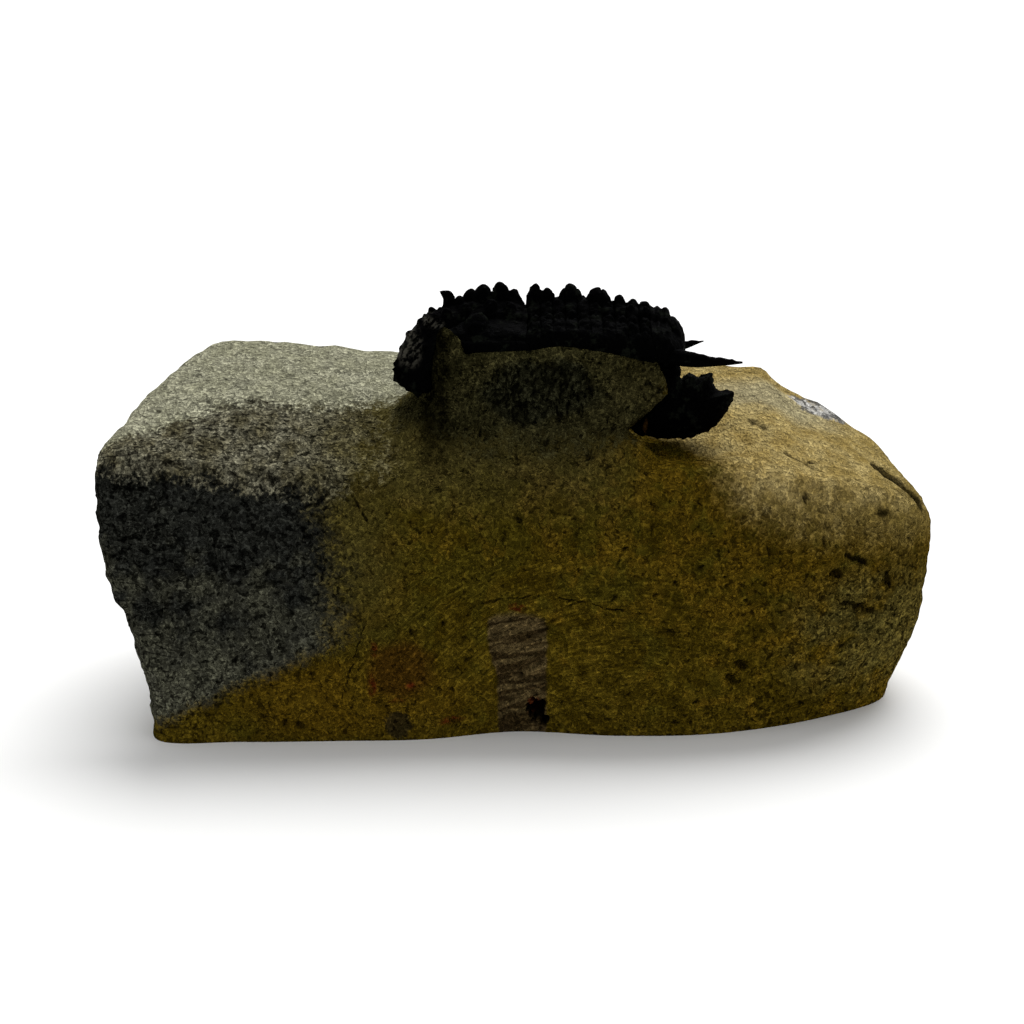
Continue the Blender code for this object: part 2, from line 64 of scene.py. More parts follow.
class Curve:
    """A smooth curve through a table of places and values that never overshoots."""

    def __init__(self, places, values):
        self.places = places
        self.values = values
        rises = [
            (values[i + 1] - values[i]) / (places[i + 1] - places[i])
            for i in range(len(places) - 1)
        ]
        self.slopes = [rises[0]]
        for before, after in zip(rises, rises[1:]):
            same_way = before * after > 0
            self.slopes.append(2 * before * after / (before + after) if same_way else 0.0)
        self.slopes.append(rises[-1])

    def __call__(self, place):
        if place <= self.places[0]:
            return self.values[0]
        if place >= self.places[-1]:
            return self.values[-1]
        i = bisect_right(self.places, place) - 1
        span = self.places[i + 1] - self.places[i]
        t = (place - self.places[i]) / span
        low, high = self.values[i], self.values[i + 1]
        bend_in = span * self.slopes[i]
        bend_out = span * self.slopes[i + 1]
        return (
            low * (1 + 2 * t) * (1 - t) ** 2
            + bend_in * t * (1 - t) ** 2
            + high * t * t * (3 - 2 * t)
            - bend_out * t * t * (1 - t)
        )


# ------------------------------------------------------------------------ the stone's form
# Outlines seen from above, in X and Y: the block's shoulder and ground, then the pedestal's.
SHOULDER_PLAN = [
    (-75.2, -36.5), (-57, -38.5), (-38, -38), (-18, -37.5), (2, -37.5), (23, -38),
    (45, -36.5), (66, -29), (80, -12), (77, 14), (60, 33.5), (37, 38),
    (13, 38.5), (-12, 38), (-36, 38.5), (-61, 38), (-69, 15.5), (-74.3, -13),
]
GROUND_PLAN = [
    (-66, -36.5), (-50, -38), (-33, -37.5), (-16, -36.5), (1, -32), (20, -34.5),
    (39, -33), (58.5, -24), (72.5, -10), (68, 12), (54, 30), (34, 35),
    (12, 35.5), (-11, 35), (-33, 35.5), (-53, 34), (-62, 12), (-66, -12),
]
FOOT_PLAN = [
    (-18, -22), (-13.5, -28), (-6, -29.5), (1, -29.5), (8, -29.5), (15, -28.5),
    (19.5, -25), (21, -19), (20, -12.5), (19, -4), (17.5, 5), (13, 10.5),
    (6, 12), (-2, 12), (-9, 11), (-15, 7), (-18.5, -1), (-19, -12),
]
WAIST_PLAN = [
    (-14.4, -19.2), (-12, -22), (-7, -21.2), (0, -20.4), (8, -20), (16, -20.2),
    (24, -20.4), (28.9, -19), (28, -15.5), (22, -11), (17, -2), (13, 3),
    (6, 4), (-2, 4), (-8, 3), (-13, 0), (-15.5, -4.5), (-15.6, -12),
]
RIM_PLAN = [
    (-14.4, -20.1), (-11.8, -22.9), (-6.5, -22.2), (0.5, -21.7), (8, -21.6), (15.5, -21),
    (22.5, -19.5), (26.8, -17), (26.5, -13.5), (23.5, -9.5), (19.5, 0), (14, 4),
    (6, 5.6), (-2, 5.6), (-8, 4.5), (-12.5, 1), (-14.8, -4), (-15, -12),
]
PLAN_STEPS = [38] * 8 + [22] + [16] * 8 + [22]      # finest along the front
# How far the sides have come from the ground outline to the shoulder's, at each height.
LEFT_SIDE = Curve([0, 2, 6, 16, 22, 28, 35, 42], [0, 0, 0.07, 0.26, 0.44, 0.80, 0.96, 1.0])
RIGHT_SIDE = Curve([0, 4, 9, 15, 21, 27, 33], [0, 0.18, 0.42, 0.70, 0.88, 0.98, 1.0])
# Height of the block's top along X, at its front and its back, and how fast it rises between.
TOP_FRONT = Curve([-76, -58, -38, -18, -4, 6, 14, 21, 31, 46, 60, 71, 80],
                  [55.5, 53.0, 50.2, 48, 44.6, 43.4, 45.0, 48, 48.8, 48, 46, 43, 37.8])
TOP_BACK = Curve([-76, -58, -24, 0, 34, 50, 56, 65, 72, 80],
                 [60.2, 61.2, 59.3, 58.2, 56.8, 56.4, 52.6, 48.9, 45.4, 38.6])
BLOCK_FRONT, BLOCK_BACK = -38, 38
TOP_CURL = Curve([-76, -45, -18, 10, 40], [1.0, 2.2, 2.2, 1.3, 1.3])
# Swellings and hollows of the top: X, Y, radius and rise.
TOP_SWELLS = [(31.0, -10.0, 17.0, -1.9), (18.5, -22.5, 10.0, 3.4)]
# The rounded front edge along X: its height, and how far it reaches in.
ALONG = [-76, -60, -40, -20, -6, 8, 18, 30, 45, 60, 80]
FRONT_ROUNDING = Curve(ALONG, [4, 5, 7, 9, 10, 10, 10, 12, 15, 12, 5])
FRONT_INSET = Curve(ALONG, [6, 10, 14, 12, 8, 8, 8, 12, 16, 13, 6])
REST_ROUNDING = 3.6                  # the same edge at the sides and the back
FRONT_FADE, FRONT_FADE_WIDTH = -14, 18
EDGE_ROOM = 0.85                     # share of the way to the pedestal that an edge may take
FULLNESS = 1.5                       # 1 cuts the edge off straight, 2 rounds it in an arc
FILLET_WIDTH, FILLET_RISE = 5.0, 2.0
LUMP_HEIGHT, LUMP_SIZE = 0.55, 9.0
WANDER_SHIFTS = [Vector(shift) for shift in ((9, -2, -8), (0, 30, 4), (50, 7, 11))]
WAIST, FLARE = 0.46, 1.5             # share of the pedestal's height, and how its foot spreads
SIDE_RINGS, EDGE_RINGS, TOP_RINGS, PEDESTAL_RINGS = 88, 18, 42, 40
LIP_RINGS = ((0.35, 0.99), (0.7, 0.8), (1.1, 0.3), (1.5, 0))
SEAT_RINGS = (0.2, 0.45, 0.7, 0.88)
STONE_MARKS = ("pit", "bleached", "rubbed", "pedestal")
# Patches of colour on the front: ovals with their centre in X and Z, and half sizes.
LOW_WARM = ((-30.0, 8.0), (26.0, 8.0))
DUSTY = ((68.0, 18.0), (22.0, 17.0))
DARK_GREY = ((-52.0, 42.0), (19.0, 6.5))
BLUSH = ((-20.0, 13.5), (6.4, 6.4))
FOOT_SPOT = ((-21.0, 3.0), (2.7, 2.7))
WORKED = ((4.0, 20.0), (38.0, 19.0))
# Patches of the top: the same in X and Y.
CHALK = ((52.0, 16.0), (17.0, 13.0))
BROKEN = ((61.5, 24.0), (6.2, 5.0))
FRONT_FACE = (-27.0, -24.0)          # Y over which the marks of the front fade out
GREY_END, GREY_FOOT = -32.5, 19.0    # X of the grey end's edge, and Z below which it slants
VEIN_LEFT, VEIN_RIGHT, VEIN_TOP = -2.6, 6.4, 24.3
VEIN_CROWN = (0.9, 5.2)              # X of the middle of the vein's round top, and half width
TOOL_PIVOT = (22.0, -18.0)           # X and Z that the tool strokes run round
# On the front: X, Z and half sizes of rust spots, and cracks from, to and half width.
RUST_SPOTS = [(-25.5, 17.7, 0.8, 1.5), (-18.6, 10.4, 1.1, 0.9), (-25.9, 10.8, 1.0, 2.2),
              (-21.1, 7.6, 1.6, 0.5), (1.0, 25.4, 1.6, 0.9), (-11.3, 3.3, 2.4, 0.7)]
FRONT_CRACKS = [((-27.0, 22.4), (-31.4, 8.4), 0.22), ((-29.1, 46.7), (-26.4, 42.5), 0.4),
                ((-5.3, 26.4), (-0.4, 27.4), 0.35), ((-0.4, 27.4), (4.9, 28.0), 0.25),
                ((8.8, 27.6), (23.5, 24.5), 0.25), ((-73.5, 49.0), (-66.0, 48.4), 0.6)]
# Y of the near edge of the pale top along X, and how soft that edge is. The pale top is partly the
# rock's own bleached colour and partly painted light; right of the pedestal's foot the edge is
# drawn back, painting the shadow cast forward there.
BLEACHED_EDGE = Curve([-75, -68, -61, -54, -46, -39, -33, -24, -19, -14, 17, 21, 25, 30, 36,
                       42, 48, 55, 66, 75, 80],
                      [-31, -25, -17, -10, -8, -7, -6, -2, 4, 9, 9, 6, -3, -8, -16,
                       -24, -30, -32, -26, -16, -10])
BLEACHED_SOFT = Curve([-76, -55, -25, 0, 22, 30, 45, 80], [8, 17, 15, 6, 6, 13, 16, 10])
# The pale top, partly bleached and partly painted light, runs down the front of the right end:
# from which X, and to which height.
FADED_FROM = 28
FADED_LOW = Curve([26, 32, 45, 60, 80], [42, 39, 34, 30, 26])
# Height along X of the lower edge of the band along the left end's rounded front edge, darkened
# with painted shade.
EDGE_BAND_LOW = Curve([-74, -60, -45, -31, -18, -8], [50.8, 49.7, 47.3, 46.4, 48.5, 52])
PEDESTAL_LOW = 46.5
PEDESTAL_SPREAD = (5, -9, 24, 20)    # seen from above: middle and half sizes
# Sizes of the broken surface: worm-like grooves, spacing of pits, lumps of the rough oval.
WORM_SIZE, PIT_SPACING, OVAL_LUMPS = 1.45, 3.4, 1.9
OVAL = (5.2, 62.4, 11.0, 6.2)        # on the pedestal: X, Z and half sizes
HOLE = (4.6, 4.6, 1.5, 2.1)          # in the front: X, Z and half sizes
# Open cracks in the top, above a height: from, to, half width and depth.
GROOVES_ABOVE = 30
GROOVES = [((71.0, -5.5), (76.5, -12.8), 2.3, 2.0), ((74.0, -9.5), (76.8, -13.2), 3.1, 1.8),
           ((45.8, -1.5), (49.5, -7.0), 1.0, 0.6), ((52.0, -16.8), (56.8, -20.0), 1.0, 0.5),
           ((53.5, -4.0), (58.0, -7.0), 0.8, 0.4)]
# Short cracks and pits in the front's right end: from and to in X and Z, and half width.
FRONT_GROOVES = [((57.3, 36.4), (58.9, 36.0), 0.9), ((62.0, 33.9), (66.0, 32.0), 0.7),
                 ((68.4, 40.9), (69.8, 40.6), 0.9), ((70.2, 28.6), (71.2, 25.4), 0.7),
                 ((59.4, 30.8), (60.8, 30.2), 0.8), ((62.0, 24.9), (65.2, 23.4), 0.7),
                 ((42.0, 14.6), (43.2, 13.4), 0.9), ((40.3, 11.6), (41.8, 10.8), 0.8),
                 ((66.0, 22.6), (68.0, 21.6), 0.7), ((47.0, 36.0), (48.4, 34.6), 0.6)]
# The rise of the rim beside the head: X of its top, half widths, Y of its back and height.
BUTTRESS_X, BUTTRESS_LEFT, BUTTRESS_RIGHT = -12.9, 1.9, 4.2
BUTTRESS_BACK, BUTTRESS_HEIGHT = -18.9, 5.8
FRONT_ROOM = 3.0                     # how far the rim drops where the head bends over it

# Sizes of the noises in the stone's colours, and the room over which a pit darkens with painted
# shade.
BROAD_SIZE, MEDIUM_SIZE, BLOTCH_SIZE, GRIT_SIZE = 7.0, 4.2, 1.6, 0.6
SCUFF_SIZE, SCAR_SIZE, SPECK_SIZE, STRATA_SIZE, BEDS_SIZE = 1.2, 1.7, 1.25, 1.1, 3.0
PIT_DARK, PIT_BLACK = (0.08, 0.6), (0.8, 1.4)

# ----------------------------------------------------------------------- the animal's form
BEDDING = 0.35                       # how far the shell's underside sinks into the stone
AXIS_Y = -8.0
HEAD_BACK, HEAD_LENGTH, HEAD_HALF_WIDTH = 2.5, 25.2, 14.6
HEAD_INSIDE, HEAD_TUCK = 0.93, 0.45  # share of the length inside, and reach over the thorax
HEAD_GRID = (170, 130)
SEGMENTS = 10
THORAX_FRONT, PITCH, JOINT = 3.05, 2.32, 0.3
OVERLAP = 0.35                       # how far a band tucks under the one before
BAND_ROWS, BAND_STATIONS = 11, 74
TAIL_FRONT, TAIL_LENGTH, TAIL_HALF_WIDTH = 26.0, 6.85, 10.4
TAIL_GRID = (110, 46)
SEAT_CROWN = 2.5                     # rise of the seat from its edge to the axis
MARGIN_THICK = 1.65                  # thickness of the shell at its margin
# Along X: the animal's half width, the height of its seat's edge, and that of its axis.
HALF_WIDTH = Curve([2.5, 12, 18, 26.3, 33], [14.3, 14.3, 13.3, 10.6, 8.5])
SEAT_EDGE = Curve([2.5, 8.7, 15.9, 20.3, 24.9, 27.2, 33],
                  [70.9, 71.8, 70.8, 69.7, 68.3, 67.7, 66.6])
CREST = Curve([2.5, 4, 8.8, 13.5, 18.1, 22.8, 26.4, 29.5, 30.1, 32.4],
              [76.4, 77.0, 77.6, 77.6, 77.0, 76.5, 76.2, 75.9, 74.7, 74.4])
KNOB_ROUNDNESS = 0.75
AXIAL_LOBE, AXIAL_RISE = 0.33, 2.1

# Knobs: X, distance from the axis, height and radius.
AXIS_KNOBS = [(4.3, 0, 3.2, 1.9), (6.5, 0, 2.2, 1.7), (11.0, 0, 2.8, 2.3),
              (16.4, 0, 2.5, 2.4), (20.3, 0, 1.4, 1.5), (22.9, 0, 1.1, 1.3),
              (25.2, 0, 0.8, 1.2)]
SIDE_KNOB_SHARES = (0.50, 0.78)
SIDE_KNOB_HEIGHT, SIDE_KNOB_RADIUS = 1.0, 1.0
# The head, from its back to its front: height of its edge, and of its cheeks.
HEAD_EDGE = Curve([0, 0.3, 0.55, 0.69, 0.735, 0.785, 0.9, 1],
                  [70.9, 70.4, 69.4, 68.8, 64.5, 61.4, 61.4, 62])
CHEEK = Curve([0, 0.12, 0.5, 0.65, 0.8, 1], [74.3, 75.2, 75.6, 75.4, 75.8, 78])
GLABELLA_RISE, GLABELLA_HALF_WIDTH = 2.6, 0.43
HEAD_TILT = math.radians(60)
# In X and Z, centre and half sizes: worn patches on the head, a sliver on the second shield.
WORN_PATCHES = [((-19.6, 69.6), (3.0, 4.2)), ((-14.8, 74.0), (2.2, 1.2))]
SLIVER = ((25.3, 54.2), (0.45, 1.9))
HEAD_KNOBS = [
    (0.4, -0.4, 2.0, 1.9), (-2.1, 0.3, 3.2, 2.0), (-5.5, -0.4, 2.8, 2.1),
    (-8.0, 0.8, 1.9, 1.6), (-9.9, -0.8, 1.2, 1.2), (-11.8, 0.2, 2.6, 1.15),
    (-14.6, -3.2, 1.2, 1.2), (-15.4, 2.6, 1.0, 1.2), (-4.0, -4.2, 1.3, 1.3),
    (-4.0, 4.2, 1.3, 1.3), (-8.6, -4.2, 1.2, 1.2), (-8.6, 4.2, 1.2, 1.2),
    (-0.4, -4.7, 1.2, 1.2), (-0.4, 4.7, 1.2, 1.2), (-12.4, -3.9, 1.2, 1.2),
    (-12.4, 3.9, 1.2, 1.2), (-6.6, -8.8, 2.0, 2.5), (-6.6, 8.8, 2.0, 2.5),
]
# Tips of the teeth along the head's edge.
EDGE_TEETH = [(-22.7, -12.6, 65.2), (-21.2, -13.2, 61.9), (-17.8, -15.6, 60.5),
              (-22.6, -4.0, 63.2), (-21.2, -1.5, 60.6)]
HOOK = (-13.6, -8.0, 79.2)            # tip of the knob that leans forward
# Spines: places along their middle, and half thickness there.
NEAR_SPINE = [((28.0, -15.2, 68.4), 1.5), ((31.5, -15.9, 68.0), 1.5), ((35.0, -16.1, 67.5), 1.2),
              ((38.5, -16.0, 67.3), 0.8), ((41.2, -15.8, 67.2), 0.5), ((43.1, -15.6, 67.1), 0.2)]
FAR_SPINE = [((28.0, -0.8, 67.0), 1.0), ((31.0, -0.3, 67.0), 1.0), ((33.5, 0.1, 67.4), 0.75),
             ((35.4, 0.3, 67.8), 0.4), ((36.9, 0.4, 68.1), 0.12)]

# The second shield: its outline and middle in X and Z, and how it stands in Y.
SHIELD_OUTLINE = [
    (22.9, 53.0), (26.0, 51.8), (30.0, 51.3), (34.0, 51.7), (37.2, 52.8), (40.0, 55.4),
    (41.5, 58.3), (41.8, 60.2), (40.4, 60.2), (39.0, 60.6), (38.1, 61.9), (37.7, 63.9),
    (36.2, 63.0), (35.0, 63.2), (33.8, 63.8), (32.6, 63.0), (31.7, 63.0), (31.8, 64.6),
    (31.3, 66.0), (28.6, 66.2), (26.6, 66.3), (26.0, 64.0), (24.6, 60.8), (23.2, 57.0),
]
SHIELD_CENTRE = (30.6, 59.0)
SHIELD_Y, SHIELD_FRONT, SHIELD_BACK = -10.0, 4.4, 4.2


def clamp(value, low=0.0, high=1.0):
    """The value, kept between low and high."""
    return max(low, min(high, value))


def smooth(value):
    """0 to 1 with level ends, for a value from 0 to 1."""
    t = clamp(value)
    return t * t * (3 - 2 * t)


def spread(count, start=0.0, end=1.0):
    """Even steps from start to end, both included."""
    return [start + (end - start) * i / (count - 1) for i in range(count)]


def wander(point):
    """A direction and length, up to about 1, that change smoothly from place to place."""
    return Vector([noise.noise(point + shift) for shift in WANDER_SHIFTS])


def closed_curve(points, steps):
    """Points on a smooth closed curve through all the given points, so many on each span."""
    count = len(points)
    curve = []
    for i, parts in enumerate(steps):
        a, b, c, d = (Vector(points[(i + k) % count]) for k in (-1, 0, 1, 2))
        for step in range(parts):
            t = step / parts
            bend = (2 * a - 5 * b + 4 * c - d) * t ** 2 + (3 * b - a - 3 * c + d) * t ** 3
            curve.append(0.5 * (2 * b + (c - a) * t + bend))
    return curve


def grid_surface(bm, columns, rows, place):
    """A grid whose vertices go to place(u, v), u and v from 0 to 1."""
    made = bmesh.ops.create_grid(bm, x_segments=columns, y_segments=rows, size=1)
    for vert in made["verts"]:
        u = (vert.co.x + 1) / 2
        v = (vert.co.y + 1) / 2
        vert.co = place(u, v)
    return made["verts"]


def loft(bm, rings):
    """A closed skin over closed rings of equal length, with both ends filled."""
    count = len(rings[0])

    def place(u, v):
        ring = rings[round(v * (len(rings) - 1))]
        return ring[round(u * count) % count]

    verts = grid_surface(bm, count, len(rings) - 1, place)
    bmesh.ops.remove_doubles(bm, verts=verts, dist=1e-4)
    open_edges = [edge for edge in bm.edges if edge.is_boundary]
    bmesh.ops.holes_fill(bm, edges=open_edges, sides=0)
    bmesh.ops.recalc_face_normals(bm, faces=bm.faces)


def raise_surface(bm, relief, marks):
    """Move every vertex along its normal by relief(point, normal), which also gives marks.

    marks are the names of the vertex attributes that hold relief's further values.
    """
    bm.normal_update()
    layers = [bm.verts.layers.float.new(name) for name in marks]
    for vert in bm.verts:
        height, *values = relief(vert.co, vert.normal)
        for layer, value in zip(layers, values):
            vert[layer] = value
        vert.co += vert.normal * height


def knobs_height(knobs, x, offset):
    """Height that a list of knobs adds at x, at a distance from the axis."""
    height = 0.0
    for knob_x, knob_offset, tall, radius in knobs:
        along = (x - knob_x) / radius
        across = (offset - knob_offset) / radius
        near = 1 - along * along - across * across
        if near > 0:
            height = max(height, tall * near ** KNOB_ROUNDNESS)
    return height


# ------------------------------------------------------------------------ shared surfaces
def seat_height(x, y):
    """The surface that the fossil and the pedestal share."""
    across = (y - AXIS_Y) / HALF_WIDTH(x)
    ahead = max(0.0, (HEAD_BACK - x) / (HEAD_LENGTH * HEAD_INSIDE))
    distance = math.hypot(across, ahead)
    edge = SEAT_EDGE(x)
    if ahead > 0:
        edge = HEAD_EDGE(ahead / max(distance, 1e-6))
    crown = SEAT_EDGE(x) + SEAT_CROWN - edge
    return edge + crown * max(0.0, 1 - distance ** 2)


def top_height(x, y):
    """Height of the block's top, without the pedestal."""
    back = clamp((y - BLOCK_FRONT) / (BLOCK_BACK - BLOCK_FRONT))
    rise = 1 - (1 - back) ** TOP_CURL(x)
    height = TOP_FRONT(x) * (1 - rise) + TOP_BACK(x) * rise
    for middle_x, middle_y, radius, swell in TOP_SWELLS:
        height += swell * smooth(2 - 2 * math.hypot(x - middle_x, y - middle_y) / radius)
    return height


def rim_height(x, y):
    """The edge of the pedestal's top, lower where the head bends down over it."""
    behind = smooth((-8.5 - x) / 3.5) * smooth((y - BUTTRESS_BACK) / 1.2)
    return seat_height(x, y) - FRONT_ROOM * behind


def buttress(x, y):
    """Rise of the rim at the pedestal's near left corner, beside the head."""
    width = BUTTRESS_LEFT if x < BUTTRESS_X else BUTTRESS_RIGHT
    near = smooth((BUTTRESS_BACK - y) / 1.2)
    return BUTTRESS_HEIGHT * near * clamp(1 - abs((x - BUTTRESS_X) / width) ** 2)


# ------------------------------------------------------------------------------- the stone
def edge_size(x, y, along_front):
    """Height or width of the rounded edge of the top, at the shoulder."""
    front = smooth((FRONT_FADE - y) / FRONT_FADE_WIDTH)
    return along_front(x) * front + REST_ROUNDING * (1 - front)


def fillet(distance):
    """Rise of the top at a distance from the pedestal's foot."""
    return FILLET_RISE * clamp(1 - distance / FILLET_WIDTH) ** 2


def side_rings(ground, shoulder):
    """Rings up the sides of the block."""
    rings = []
    for level in spread(SIDE_RINGS):
        ring = []
        for low, high in zip(ground, shoulder):
            z = level * (top_height(*high) - edge_size(*high, FRONT_ROUNDING))
            right = smooth((high.x + 40) / 80)
            lean = LEFT_SIDE(z) * (1 - right) + RIGHT_SIDE(z) * right
            ring.append(Vector((*low.lerp(high, lean), z)))
        rings.append(ring)
    return rings


def top_rings(shoulder, foot):
    """Rings from the shoulders over the edge of the top and in to the pedestal."""
    rings = []
    for share in spread(EDGE_RINGS + 1)[1:]:
        ring = []
        for outer, inner in zip(shoulder, foot):
            rounding = edge_size(*outer, FRONT_ROUNDING)
            room = EDGE_ROOM * (inner - outer).length
            inset = min(edge_size(*outer, FRONT_INSET), room) * share
            point = outer + (inner - outer).normalized() * inset
            drop = rounding * (1 - (1 - (1 - share) ** FULLNESS) ** (1 / FULLNESS))
            rise = fillet((inner - point).length)
            ring.append(Vector((*point, top_height(*point) - drop + rise)))
        rings.append(ring)
    edge = [Vector(point[:2]) for point in rings[-1]]
    for share in spread(TOP_RINGS + 1)[1:-1]:
        ring = []
        for outer, inner in zip(edge, foot):
            point = outer.lerp(inner, share)
            rise = fillet((inner - point).length)
            ring.append(Vector((*point, top_height(*point) + rise)))
        rings.append(ring)
    return rings


def pedestal_rings(foot, waist, rim):
    """Rings up the pedestal, from its foot over its waist to just under its rim."""
    rings = []
    for level in spread(PEDESTAL_RINGS, 0, 0.97):
        ring = []
        for a, b, c in zip(foot, waist, rim):
            if level < WAIST:
                out = (1 - level / WAIST) ** FLARE
                point = Vector((a.lerp(b, level / WAIST).x, b.lerp(a, out).y))
            else:
                point = b.lerp(c, ((level - WAIST) / (1 - WAIST)) ** 1.2)
            low = top_height(*a) + FILLET_RISE
            high = rim_height(*c) + buttress(*c) * smooth((level - 0.5) / 0.5)
            ring.append(Vector((*point, low + (high - low) * level)))
        rings.append(ring)
    return rings


def seat_rings(rim):
    """The rim of the pedestal, its lip, and rings in over the top that carries the fossil."""
    rings = [[Vector((x, y, rim_height(x, y) + buttress(x, y))) for x, y in rim]]
    axis = [Vector((clamp(x, -6, 16), AXIS_Y)) for x, y in rim]
    for inset, keep in LIP_RINGS:
        ring = []
        for outer, inner in zip(rim, axis):
            point = outer + (inner - outer).normalized() * inset
            ring.append(Vector((*point, rim_height(*point) + keep * buttress(*outer))))
        rings.append(ring)
    lip = [Vector(point[:2]) for point in rings[-1]]
    for share in SEAT_RINGS:
        ring = []
        for outer, inner in zip(lip, axis):
            point = outer.lerp(inner, share)
            ring.append(Vector((*point, rim_height(*point) - 0.5)))
        rings.append(ring)
    return rings


def near_line(point, start, end):
    """Distance from a point to a straight line between two places, all seen from above."""
    start, end, place = Vector(start), Vector(end), Vector(point[:2])
    span = end - start
    share = clamp((place - start).dot(span) / span.length_squared)
    return (place - start - span * share).length


def bleaching_and_light(x, y, z, level):
    """How pale the stone is, partly its own bleaching and partly painted light: on its level top,
    and down the front of its right end.
    """
    top = level * smooth((y - BLEACHED_EDGE(x)) / BLEACHED_SOFT(x) + 0.5)
    faded = smooth((x - FADED_FROM) / 20) * smooth((z - FADED_LOW(x) + 3) / 24)
    return max(top, faded)


def on_pedestal(x, y, z):
    """1 on the pedestal, falling to 0 around its foot."""
    middle_x, middle_y, half_length, half_depth = PEDESTAL_SPREAD
    away = math.hypot((x - middle_x) / half_length, (y - middle_y) / half_depth)
    return (1 - smooth((away - 1.0) / 0.25)) * smooth((z - PEDESTAL_LOW) / 13)


def worm_marks(point):
    """Worm-like grooves in patches, 1 along the middle of a groove."""
    worm = smooth(1 - abs(noise.noise(point / WORM_SIZE)) / 0.16)
    return worm * smooth(0.4 + 2.2 * noise.noise(point / 5.0 + Vector((9, 4, 2))))


def small_pits(point, share):
    """Pits in some of the cells that the stone is divided into, more for a larger share."""
    distances, centres = noise.voronoi((point + wander(point / 1.5)) / PIT_SPACING)
    chosen = noise.cell(centres[0] * 7.3)
    if chosen >= share:
        return 0.0
    return smooth(1 - distances[0] / (0.16 + 0.2 * abs(chosen)))


def oval_gaps(point):
    """The gaps between the lumps of the rough oval on the pedestal."""
    distances, _ = noise.voronoi((point + wander(point / 2.2)) / OVAL_LUMPS)
    return smooth(1 - (distances[1] - distances[0]) / 0.28)


def in_hole(x, z, ragged):
    """1 inside the hole at the foot of the front and the small one below it."""
    middle_x, middle_z, half_width, half_height = HOLE
    away = min(math.hypot((x - middle_x) / half_width, (z - middle_z) / half_height),
               math.hypot((x - middle_x - 1.3) / 0.9, (z - middle_z + 2.3) / 1.0))
    return 1 - smooth((away + ragged - 0.7) / 0.5)


def open_cracks(point):
    """Depth of the open cracks and pits that have a place of their own."""
    x, y, z = point
    depth = 0.0
    if z > GROOVES_ABOVE:
        strayed = point + 1.2 * wander(point / 3)
        fade = smooth((z - GROOVES_ABOVE) / 4)
        for start, end, width, deep in GROOVES:
            depth += deep * smooth(1.6 * (1 - near_line(strayed, start, end) / width)) * fade
    if x > 38 and y < 0:
        across = Vector((x, z)) + 0.8 * wander(point / 2).xy
        for start, end, width in FRONT_GROOVES:
            depth += 0.9 * smooth(1.5 * (1 - near_line(across, start, end) / width))
    return depth


def stone_relief(point, normal):
    """Height of the broken and pecked surface over the stone's smooth form.

    Then the marks: how deep the pits are, how pale the place is (partly bleached, partly
    painted light), how much it is on the band of painted shade along the left end's rounded front
    edge, and how much it is on the pedestal.
    """
    x, y, z = point
    level = smooth((normal.z - 0.05) / 0.65)
    side = 1 - level
    left = smooth((-28 - x) / 30)
    right = smooth((x - 25) / 25)
    middle = (1 - left) * (1 - right) * side * smooth((-y - 20) / 10)
    # The band of painted shade along the left end's rounded front edge.
    rubbed = smooth((z - EDGE_BAND_LOW(x)) / 8 + 0.4) * smooth((-15 - x) / 20)
    pedestal = on_pedestal(x, y, z)

    chips = abs(noise.noise(point / 7.0)) + 0.5 * abs(noise.noise(point / 3.1))
    height = -chips * (0.35 + 0.9 * left * side + 0.3 * right * side)
    beds = noise.noise(Vector((x / 22, y / 22, z / 2.6)))
    height += 0.6 * beds * left * side
    height += 0.16 * noise.noise(point / 1.9)

    pit = 0.26 * worm_marks(point) * (1 - 0.6 * middle)
    share = 0.07 + 0.25 * right * side + 0.2 * left * side - 0.2 * middle
    pit += 0.8 * small_pits(point, share)
    if y < AXIS_Y:
        away = math.hypot((x - OVAL[0]) / OVAL[2], (z - OVAL[1]) / OVAL[3])
        oval_here = (1 - smooth((away - 0.8) / 0.4)) * pedestal
        if oval_here > 0:
            pit += 0.55 * oval_gaps(point) * oval_here
            height -= 0.5 * oval_here
    if y < -25:
        pit += 1.7 * in_hole(x, z, 0.9 * noise.noise(point / 0.9))
    pit += open_cracks(point)
    settle = stone_settings().roughness * smooth(z / 2.5)
    return (height - pit) * settle, pit, bleaching_and_light(x, y, z, level), rubbed, pedestal


def limestone_block():
    """The block with its pedestal: one piece of limestone."""
    plans = (GROUND_PLAN, SHOULDER_PLAN, FOOT_PLAN, WAIST_PLAN, RIM_PLAN)
    ground, shoulder, foot, waist, rim = (closed_curve(plan, PLAN_STEPS) for plan in plans)
    outside = side_rings(ground, shoulder) + top_rings(shoulder, foot)
    outside += pedestal_rings(foot, waist, rim)
    for ring in outside[1:]:
        for point in ring:
            lump = wander(point / LUMP_SIZE) + 0.5 * wander(point / 3.7)
            point += lump * LUMP_HEIGHT * smooth(point.z / 2)
    bm = bmesh.new()
    loft(bm, outside + seat_rings(rim))
    raise_surface(bm, stone_relief, STONE_MARKS)
    return finish_piece("limestone_block", bm, limestone(), ["matrix_block"])


# --------------------------------------------------------------------------- the trilobite
def grain(x, y, z, size):
    """Small round grains, from 0 between them to 1 on top."""
    distances, centres = noise.voronoi(Vector((x, y, z)) / size)
    return smooth(1 - distances[0] / 0.55)


def shell_relief(point, normal):
    """Grains, lumps and wear of the fossil shell over its form; how high the grains stand."""
    knob = grain(*point, 1.15) * smooth(0.5 + 1.6 * noise.noise(point / 3.3))
    fine = noise.noise(point / 0.8)
    lump = noise.noise(point / 1.9)
    front = smooth((-13.5 - point.x) / 2.5)
    nodule = grain(*point, 2.0) - 0.45
    height = shell_settings().grain * (knob + 0.25 * fine) + 0.3 * lump + 0.75 * front * nodule
    return height * smooth((normal.z + 1.0 * front + 0.6) / 0.4), knob


